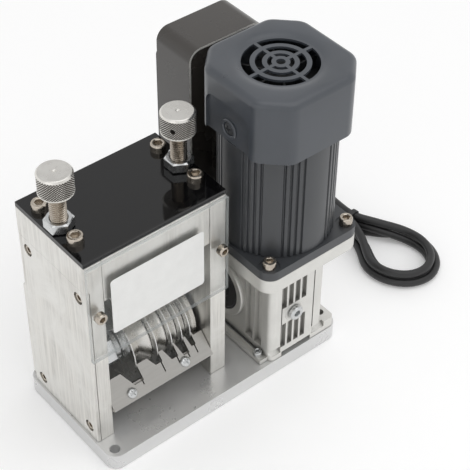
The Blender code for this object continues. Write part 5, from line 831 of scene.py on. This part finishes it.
# Worm and wheel, hidden in the housing: a ground steel worm and a hobbed bronze wheel. Both keep their exact
# solids and get a real finish.

# Gear bronze: warm brown gold with a hobbed grain and a film of oil
gear_bronze = mottled("hobbed_gear_bronze", (2, 4), ("#9A7440", "#C49B5C"), (0.18, 0.38), (0.2, 0.04),
                      window=(0, 1), more={"Metallic": 1})


def refinish(node, finish):
    """Gives a CAD node that keeps its own shape a finer finish."""
    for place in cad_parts[node].material_slots:
        place.material = finish


refinish("worm_wheel", gear_bronze)
refinish("worm", ground_steel)


# Adapter and motor flanges: a square plate cast in aluminium on the housing, and the motor's own black
# enamelled flange on it. Four nickel-plated cap screws, sunk a little into spot faces, hold both.
corners = rectangle(20.5, 110.5, -69.8, 20.2)
bore = rod(15, 100, 125, motor_axis)
adapter = piece("cast_adapter", worked(prism(rounded(corners, 11, 12), 108.3, 120.8), bore), cast_aluminium,
                edge=0.9)
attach(adapter, "frame")
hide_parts("adapter_flange")

# Black enamel baked on aluminium: dark neutral grey, satin, with a slight orange peel and dust in the grooves
black_enamel = mottled("baked_black_enamel", (29.41, 4), ("#35373A", "#434548"), (0.32, 0.44), (0.16, 0.06),
                       (2.083, 2), more={"Coat Weight": 0.15, "Coat Roughness": 0.2})

neck = rod(6.5, 118, 132, motor_axis)
bolts = [(x, y) for x in (28.75, 102.25) for y in (-61.55, 11.95)]
flats = [rod(7.6, 128.4, 131, at(x, y, 0)) for x, y in bolts]
flange = piece("motor_foot", worked(prism(rounded(corners, 11, 12), 121.1, 129.1), neck, *flats),
               black_enamel, edge=0.9)
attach(flange, "frame")
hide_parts("motor_flange")
screws("motor_cap_screws", cap_screw, [((x, y, 128.8), (0, 0, 1)) for x, y in bolts], nickel)


# Motor body: an extruded aluminium shell in baked black enamel. It is smooth but for eight groups of four
# narrow flutes, and it stands on the motor's flange.
outline = []
half = radians(1.45)
for quarter in range(4):
    for sign in (-1, 1):
        middle = quarter * pi / 2 + sign * radians(25)
        for k in range(4):
            groove = middle + (k - 1.5) * radians(6.2)
            for share, deep in ((-1, 0), (-0.82, 0.5), (-0.6, 1.2), (-0.25, 1.6), (0.25, 1.6), (0.6, 1.2),
                                (0.82, 0.5), (1, 0)):
                outline.append((43 - deep, groove + share * half))
            if k < 3:
                outline.append((43, groove + radians(3.1)))
        stop = middle + 1.5 * radians(6.2) + half
        gap = (pi / 2 - 2 * (stop - quarter * pi / 2)) if sign > 0 else 2 * (quarter * pi / 2 - stop)
        outline += [(43, stop + gap * j / 8) for j in range(1, 8)]
shell = prism([(radius * cos(angle), radius * sin(angle)) for radius, angle in outline], 129.4, 220.9)
hollow = turned([(35.5, 127.4), (35.5, 212.9), (6.5, 212.9), (6.5, 222.9)], 96)
body = piece("motor_shell", moved(worked(shell, hollow), motor_axis), black_enamel, edge=0.25, smooth=38,
             steps=2)
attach(body, "frame")
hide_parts("motor_body")

# Inside the shell: enamelled copper windings round a laminated iron rotor, both on their exact solids
copper = blank("enamelled_copper_wire")
spot = add(copper, "TexCoord").outputs["Object"]
lay = add(copper, "TexWave", {"Vector": spot, "Scale": 100 * pi / 0.9817, "Distortion": 4, "Detail": 2},
          bands_direction="Z")
tone = add(copper, "Mix", {0: lay, 6: colour("#7A3D1E"), 7: colour("#C0703C")}, data_type="RGBA")
wound = add(copper, "Bump", {"Height": lay, "Strength": 0.5, "Distance": 0.0003})
face = add(copper, "BsdfPrincipled", {"Base Color": tone.outputs[2], "Metallic": 0.8, "Roughness": 0.3,
                                      "Normal": wound})
add(copper, "OutputMaterial", {"Surface": face})
# Stacked electrical steel: dark bare iron with the fine lines of its sheets, drawn at 2 mm so that they show
laminated_iron = blank("laminated_iron")
spot = add(laminated_iron, "TexCoord").outputs["Object"]
sheets = add(laminated_iron, "TexWave", {"Vector": spot, "Scale": 100 * pi / 1.9635, "Distortion": 0.3},
             bands_direction="Z")
tone = add(laminated_iron, "Mix", {0: sheets, 6: colour("#4B4A49"), 7: colour("#7C7A77")}, data_type="RGBA")
seam = add(laminated_iron, "Bump", {"Height": sheets, "Strength": 0.3, "Distance": 0.0001})
face = add(laminated_iron, "BsdfPrincipled", {"Base Color": tone.outputs[2], "Metallic": 1, "Roughness": 0.42,
                                              "Normal": seam})
add(laminated_iron, "OutputMaterial", {"Surface": face})
refinish("stator", copper)
refinish("rotor", laminated_iron)


# Cooling fan: one moulding in black nylon, pressed on the rotor's shaft under the cowl. Its disc and six
# straight vanes are seen through the grille.

# Glass-filled nylon: near black with a dusty, slightly fibrous surface
nylon = mottled("glass_filled_nylon", (2.941, 5), ("#141516", "#303133"), (0.40, 0.65), (0.25, 0.08),
                window=(0, 1))

fan_low, fan_top = 248.4, 262.4
disc = turned([(6.3, fan_low), (32.6, fan_low), (33, fan_low + 0.4), (33, fan_low + 1.6), (32.6, fan_low + 2),
               (11, fan_low + 2), (10.6, fan_top - 0.4), (10.2, fan_top), (6.3, fan_top)], 72, bored=True)
vanes = [moved(block((9.4, -0.8, fan_low + 1), (31.4, 0.8, fan_top - 2)), Matrix.Rotation(pi / 3 * k, 4, "Z"))
         for k in range(6)]
impeller = piece("cooling_fan", moved(worked(disc, *vanes, way="UNION"), motor_axis), nylon, edge=0.3,
                 steps=2)
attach(impeller, "rotor")
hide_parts("fan")


# Fan cowl: a deep-drawn cap in blue-grey enamel over the motor's top, square with cut corners, with a shallow
# dished grille of ring slots and four spokes. Its left side is pressed in round a fixing screw.

# Blue-grey enamel on pressed steel: slate with a satin sheen, softly mottled by orange peel
slate_enamel = mottled("slate_grey_enamel", (38.46, 4), ("#3E4247", "#4C5057"), (0.26, 0.38), (0.14, 0.06),
                       (2.381, 2), more={"Coat Weight": 0.2, "Coat Roughness": 0.18})


def cowl_outline(inset):
    half, flat = 45 - inset, 26.5 - inset * tan(pi / 8)
    corners = [(half, -flat), (half, flat), (flat, half), (-flat, half), (-half, flat), (-half, -flat),
               (-flat, -half), (flat, -half)]
    return rounded(corners, 12 - inset / 2, 8)


cowl_low, cowl_top = 221.2, 270.9
rings = [[Vector((x, y, cowl_top - 3.3)) for x, y in cowl_outline(9)]]
for inset, height in ((5.2, cowl_top - 9), (5.2, cowl_low), (0.5, cowl_low), (0, cowl_low + 0.5),
                      (0, cowl_top - 5)):
    rings.append([Vector((x, y, height)) for x, y in cowl_outline(inset)])
bend = 5
for k in range(1, 9):
    turn = pi / 2 * k / 8
    line = cowl_outline(bend * (1 - cos(turn)))
    rings.append([Vector((x, y, cowl_top - bend * (1 - sin(turn)))) for x, y in line])
cap = loft(rings)
dish = ((28.2, -1.5), (29.2, -1.3), (31.2, -0.62), (33.5, -0.2), (36.5, 0.05), (36.5, 2))
tools = [turned([(radius, cowl_top + z) for radius, z in dish], 120)]
for outer, inner in ((27, 21), (17.5, 12.7), (9.3, 6.4)):
    for quarter in range(4):
        points = []
        for radius, turns in ((outer, range(15)), (inner, range(14, -1, -1))):
            spoke = 1.3 / radius
            start = quarter * pi / 2 + spoke
            points += [(radius * cos(start + (pi / 2 - 2 * spoke) * k / 14),
                        radius * sin(start + (pi / 2 - 2 * spoke) * k / 14)) for k in turns]
        tools.append(prism(points, cowl_top - 5, cowl_top + 2))
tools.append(turned([(3.2, cowl_top - 5), (3.2, cowl_top + 2)], 40))
# The pressed-in left side: a shallow pocket open below, with a round eye for the screw
pocket = rounded(rectangle(-21, 25, cowl_low - 14, cowl_top - 18), 9, 12)
tools.append(prism(pocket, -46, -42.6, "X"))
tools.append(rod(5.4, 0, 5, along((1, 0, 0), (-43.5, 2, cowl_low + 11)), 40))
cowl = piece("fan_cover", moved(worked(cap, *tools), motor_axis), slate_enamel, edge=0.4, smooth=32,
             steps=2)
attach(cowl, "frame")
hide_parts("fan_cowl")
eye = turned([(5.0, -1), (7.0, 0), (7.6, 0.6), (7.0, 1.4), (5.6, 1.4), (5.0, 0.8)], 48, bored=True)
eye_y, eye_z = motor_y + 2, cowl_low + 11
eye = piece("cowl_eyelet", moved(eye, along((-1, 0, 0), (motor_x - 42.6, eye_y, eye_z))), slate_enamel)
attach(eye, "frame")
screws("cowl_screw", lambda: pan_screw(4.6, 1.6), [((motor_x - 42.2, eye_y, eye_z), (-1, 0, 0))],
       black_enamel)


# Control box: folded sheet steel in black enamel, four sides bent from one strip with 9 mm bends. A plate set
# into the open front bolts it to the motor by a bracket, and a moulded lid closes the rear.

# Semi-gloss black enamel on steel sheet: a warm brownish black whose flats pick up a broad soft sheen
box_enamel = mottled("semi_gloss_black_enamel", (45.45, 5), ("#33302D", "#433F3B"), (0.22, 0.36),
                     (0.12, 0.06), (2.632, 2), more={"Coat Weight": 0.2, "Coat Roughness": 0.15})
# Sheared sheet edge under thin enamel: the steel shows through as a lighter grey line
sheet_edge = mottled("sheared_steel_edge", (4.167, 5), ("#B9B8B4", "#DEDDD8"), (0.25, 0.45), (0.2, 0.05),
                     window=(0, 1), more={"Metallic": 0.1})

outer = rounded(rectangle(28.7, 95.4, 130, 263.2), 10, 16)
inner = rounded(rectangle(30.5, 93.6, 131.8, 261.4), 8.2, 16)
rings = [[Vector((x, y, z)) for x, z in line]
         for y, line in ((28, outer), (65, outer), (65, inner), (28, inner))]
wrap = piece("box_wrap", loft(rings, closed=True), box_enamel, edge=0.3, steps=2)
wrap.data.materials.append(sheet_edge)
for side in wrap.data.polygons:
    side.material_index = 1 if side.normal.y < -0.9 else 0
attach(wrap, "frame")
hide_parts("box_cover")

inside = rounded(rectangle(30.7, 93.4, 132, 261.2), 8, 12)
plate = prism(facing(inside), 29.5, 31.5, "Y")
back = motor_y + sqrt(43 ** 2 - 15 ** 2)
bracket = block((50.5, back, 150), (80.5, 29.8, 215))
saddle = rod(43.35, 140, 225, motor_axis, 120)
plate = worked(worked(plate, bracket, way="UNION"), saddle)
plate = piece("box_front_plate", plate, box_enamel, edge=0.4, steps=2)
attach(plate, "frame")
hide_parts("box_plate")

# Rear sheet welded into the strip, with openings for the switch and the cord
cord_x, cord_z = 68.4, 150
openings = [block((55, 60, 204.7), (69.1, 70, 225.3)),
            rod(5.6, -6, 6, along((0, 1, 0), (cord_x, 64, cord_z)))]
back_sheet = prism(facing(inside), 63, 64.8, "Y")
back_sheet = piece("box_rear_sheet", worked(back_sheet, *openings), box_enamel, edge=0.3, steps=2)
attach(back_sheet, "frame")

# Moulded ABS: black with a fine spark texture, drawn at 0.8 mm so that it shows, and a dull sheen
spark_abs = blank("spark_textured_black_abs")
spot = add(spark_abs, "TexCoord").outputs["Object"]
spark = add(spark_abs, "TexNoise", {"Vector": spot, "Scale": 1000 / 0.8333, "Detail": 3})
cloud = add(spark_abs, "TexNoise", {"Vector": spot, "Scale": 1000 / 33.33, "Detail": 3})
tone = add(spark_abs, "Mix", {0: cloud, 6: colour("#1E1E1F"), 7: colour("#2B2B2C")}, data_type="RGBA")
gloss = add(spark_abs, "MapRange", {"Value": spark, "To Min": 0.38, "To Max": 0.60})
skin = add(spark_abs, "Bump", {"Height": spark, "Strength": 0.35, "Distance": 0.00008})
face = add(spark_abs, "BsdfPrincipled", {"Base Color": tone.outputs[2], "Roughness": gloss, "Normal": skin})
add(spark_abs, "OutputMaterial", {"Surface": face})

switch_x, switch_z, lid_face = 62.05, 215, 72.3
outline = facing(rounded(rectangle(32.7, 91.4, 130, 242), 6, 12))
opening = block((switch_x - 6.8, 63, switch_z - 10.05), (switch_x + 6.8, 75, switch_z + 10.05))
hole = rod(5.3, -2, 9, along((0, 1, 0), (cord_x, 65.3, cord_z)), 48)
lid = worked(prism(outline, 65.3, lid_face, "Y"), opening, hole)
lid = piece("box_rear_lid", lid, spark_abs, edge=1.4, steps=4)
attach(lid, "frame")
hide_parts("box_lid")
screws("box_lid_screws", lambda: pan_screw(4.1, 2.5),
       [((x, lid_face, z), (0, 1, 0)) for x in (40.7, 83.4) for z in (138, 234)])

# Start capacitor inside the box: a drawn aluminium can that keeps its exact solid
refinish("capacitor", turned_aluminium)


# Rocker switch on the lid: a snap-in ABS cup with a raised bezel, pushed in from outside, and a moulded red
# rocker in it that tips 9 degrees each way.
cup = block((switch_x - 6.5, 54.3, switch_z - 9.75), (switch_x + 6.5, 72.5, switch_z + 9.75))
bezel = rounded(rectangle(switch_x - 8, switch_x + 8, switch_z - 11.25, switch_z + 11.25), 1.2, 6)
bezel = prism(facing(bezel), 72.6, 74.6, "Y")
neck = block((switch_x - 6.2, 70, switch_z - 9.4), (switch_x + 6.2, 73.3, switch_z + 9.4))
well = block((switch_x - 5.1, 65.3, switch_z - 8.35), (switch_x + 5.1, 76.3, switch_z + 8.35))
bezel_form = worked(worked(cup, neck, bezel, way="UNION"), well)
housing = piece("switch_housing", bezel_form, spark_abs, edge=0.35, steps=2)
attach(housing, "frame")
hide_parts("switch_body")

# Polycarbonate rocker: translucent red, glossy, a little scuffed where a thumb presses it
rocker_red = mottled("red_polycarbonate", (3.333, 4), ("#A31212", "#C8201C"), (0.12, 0.28), (0.08, 0.05),
                     more={"IOR": 1.58, "Subsurface Weight": 0.15, "Subsurface Scale": 0.002})
outline = [(69.95, -7.55), (68.8, 0), (69.95, 7.55), (76.0, 7.46)]
outline += [(74.3 + 1.7 * (abs(z) / 7.46) ** 1.6, z) for z in (5.6, 3.7, 1.8, 0, -1.8, -3.7, -5.6)]
outline += [(76.0, -7.46)]
paddle = prism([(y, z + switch_z) for y, z in reversed(outline)], switch_x - 4.3, switch_x + 4.3, "X")
rocker = piece("red_rocker", paddle, rocker_red, edge=0.45, smooth=25)
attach(rocker, "rocker")
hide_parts("switch_rocker")


# Mains lead: 1.7 m of round black PVC cord from a ribbed strain relief in the lid, down behind the box to the
# bench and into a hank of three long loops held by a nylon tie, ending in a moulded two-pin plug.
cord_d = 6.8


def hank_point(turns):
    """Middle of the cord after a number of turns round the hank, in the hank's own place."""
    reverse, run, tied = 1.75, 72, -20
    inset = 7.2 * (turns if turns < reverse else 2 * reverse - turns)
    climb = max(0, min(1, (turns - reverse) * 2 + 0.5))
    floor_gap = cord_d / 2 + 0.6
    height = floor_gap + 7.5 * climb * climb * (3 - 2 * climb)
    radius, arc = 33.5 - inset, pi * 33.5
    lap = 2 * arc + 4 * run
    along_lap = (turns % 1) * lap
    corners = (arc / 2, arc / 2 + 2 * run, 3 * arc / 2 + 2 * run, 3 * arc / 2 + 4 * run)
    slack = 1 - 0.03 * (1 - cos(4 / 3 * pi * turns))
    if along_lap < corners[0] or along_lap >= corners[3]:
        angle = (along_lap if along_lap < corners[0] else along_lap - lap) / 33.5
        return Vector((radius * sin(angle), slack * (run + radius * cos(angle) * 1.22), height))
    if along_lap < corners[1]:
        y, side = run - (along_lap - corners[0]), 1
    elif along_lap < corners[2]:
        angle = (along_lap - corners[1]) / 33.5
        return Vector((radius * cos(angle), -slack * (run + radius * sin(angle) * 1.22), height))
    else:
        y, side = -run + (along_lap - corners[2]), -1
    waist = cos(pi / 2 * (y - tied) / (run - tied if y > tied else run + tied)) ** 2
    stacked = floor_gap + 7.3 * int(turns)
    return Vector((side * (radius + (3.65 - radius) * waist), slack * y,
                   height + (stacked - height) * sqrt(waist) * min(1, waist * 4)))


def smooth_route(points, spacing):
    """Points at even steps along a smooth curve through a cord's own route points."""
    ends = [2 * points[0] - points[1]] + points + [2 * points[-1] - points[-2]]
    dense = []
    for a, b, c, d in zip(ends, ends[1:], ends[2:], ends[3:]):
        for k in range(24):
            t = k / 24
            dense.append(0.5 * (2 * b + (c - a) * t + (2 * a - 5 * b + 4 * c - d) * t ** 2
                                + (3 * b - a - 3 * c + d) * t ** 3))
    dense.append(points[-1])
    total = sum((b - a).length for a, b in zip(dense, dense[1:]))
    count = round(total / spacing)
    route = [dense[0]]
    walked = 0
    for a, b in zip(dense, dense[1:]):
        walked += (b - a).length
        if walked >= len(route) * total / count and len(route) < count:
            route.append(b)
    return route + [dense[-1]]


hank_place = at(196, 45, 0) @ Matrix.Rotation(radians(8.5), 4, "Z")
count = 3 * 24
last = hank_point(3 - 1e-9)
drop = 17 / 2 + 0.6 - last.z
coil = [hank_point(0) + Vector((-cord_d, 0, 0))] + [hank_point(3 * i / count) for i in range(count)] + [last]
coil += [last + Vector((44 * 0.55, 0, 0)), last + Vector((44 * 0.82, 0, drop)), last + Vector((44, 0, drop))]
coil = [hank_place @ point for point in coil]
heading = (coil[1] - coil[0]).normalized()
lead = [Vector((68.4, 94.9, 150)), Vector((68.4, 101.7, 150))]
lead += [Vector(point) for point in ((71, 113, 147), (77, 122, 137), (83.5, 127.5, 118), (89, 130.5, 96),
                                     (94, 133, 73), (99, 135, 50), (104.5, 137.5, 29), (113, 141, 12.5),
                                     (125, 145, 4), (140, 149.5, 4))]
lead += [coil[0] - heading * (2 * cord_d + 0.3), coil[0] - heading * (cord_d + 0.3)]
route = [lead[0]] + smooth_route(lead[1:], 6) + [point for point in coil]
route = [point / 1000 for point in smooth_route(route, 4)]

# Black PVC cord sheath: dull black, slightly ribbed by the cores under it and grey where it was handled
pvc = mottled("black_pvc_sheath", (11.11, 5), ("#161617", "#29292A"), (0.34, 0.50), (0.15, 0.08), (1.4286, 2),
              more={"IOR": 1.53})

lead_curve = bpy.data.curves.new("mains_lead", "CURVE")
lead_curve.dimensions = "3D"
lead_curve.bevel_depth = cord_d / 2000
lead_curve.bevel_resolution = 6
lead_curve.use_fill_caps = True
spline = lead_curve.splines.new("POLY")
spline.points.add(len(route) - 1)
for knot, point in zip(spline.points, route):
    knot.co = (*point, 1)
spline.use_smooth = True
lead_curve.materials.append(pvc)
mains_lead = bpy.data.objects.new("mains_lead", lead_curve)
bpy.context.scene.collection.objects.link(mains_lead)
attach(mains_lead, "frame")
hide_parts("cord_lead", "cord_hank")

# Strain relief: a moulded collar and a tapering sleeve cut into ribs, so that the cord bends gently
rings = [circle(5, -7), circle(5, 0), circle(8.2, 0), circle(8.5, 0.3), circle(8.5, 2.6), circle(8.2, 3)]
for k in range(6):
    low, wide, thin = 3.2 + k * 3.05, 7.7 - k * 0.5, 5.9 - k * 0.32
    rings += [circle(thin, low), circle(thin, low + 0.9), circle(wide, low + 1.1),
              circle(wide - 0.2, low + 2.8), circle(thin - 0.2, low + 3.0)]
rings += [circle(4.9, 21.6), circle(4.3, 22), circle(3.6, 22)]
sleeve = moved(loft(rings), along((0, 1, 0), (cord_x, lid_face + 0.3, cord_z)))
relief = piece("strain_relief", sleeve, pvc, edge=0.2, steps=2)
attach(relief, "frame")
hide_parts("cord_gland")

# Nylon tie: a 4.4 mm band drawn tight round the waist of the hank
left, right, high, low = -7.4, 7.4, cord_d + 0.9 + 14.6, 1.6
ins = rounded(rectangle(left, right, low, high), cord_d / 2, 8)
out = rounded(rectangle(left - 1.2, right + 1.2, low - 1.2, high + 1.2), cord_d / 2 + 1.2, 8)
rings = [[Vector((x, y, z)) for x, z in line]
         for y, line in ((-21.2, out), (-16.8, out), (-16.8, ins), (-21.2, ins))]
band = piece("nylon_tie", moved(loft(rings, closed=True), hank_place), spark_abs, edge=0.3,
             steps=2)
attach(band, "frame")
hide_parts("cord_tie")

# Moulded plug: two flat plated pins in a rounded PVC body with finger grips, its own ribbed relief behind
heading = (coil[-1] - coil[-2]).normalized()
start = coil[-1] + heading * 0.3
plug_place = Matrix(((-heading.y, 0, heading.x, start.x), (heading.x, 0, heading.y, start.y),
                     (0, 1, 0, start.z), (0, 0, 0, 1)))


def plug_section(width, height, z, corner):
    return [Vector((x, y, z)) for x, y in rounded(rectangle(-width / 2, width / 2, -height / 2, height / 2),
                                                 corner, 6)]


sections = [(12, 10.6, 12, 4.2), (16.4, 14.2, 12.8, 4.6), (19, 16.2, 14.4, 4.6)]
for k in range(5):
    z = 16.5 + k * 2.6
    sections += [(19.4, 16.6, z, 4.4), (18.0, 16.6, z + 0.6, 4.2), (18.0, 16.6, z + 1.5, 4.2),
                 (19.4, 16.6, z + 2.1, 4.4)]
sections += [(20, 17, 31.5, 4.25), (20, 17, 41.2, 4.25), (19.2, 16.2, 42, 4.0)]
moulding = loft([plug_section(*section) for section in sections])
profile = [(3.5, 0)]
for k in range(4):
    z, wider = 0.6 + k * 2.8, k * 0.14
    profile += [(4.1 + wider, z), (4.2 + wider, z + 1.5), (3.7 + wider, z + 1.7), (3.7 + wider, z + 2.6)]
plug_form = together([moulding, turned(profile + [(4.5, 12.3)], 48)])
plug_body = piece("moulded_plug", moved(plug_form, plug_place), pvc, smooth=35)
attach(plug_body, "frame")
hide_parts("plug")
pins = []
for x in (-6.35, 6.35):
    outline = rounded(rectangle(-3.15, 3.15, 41, 59.6), 1.4, 5)
    pin = prism(outline, x - 0.8, x + 0.8, "X")
    pins.append(worked(pin, rod(1.4, -3, 3, along((1, 0, 0), (x, 0, 55)), 24)))
plug_pins = piece("plug_pins", moved(together(pins), plug_place), zinc, edge=0.25, steps=2)
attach(plug_pins, "frame")
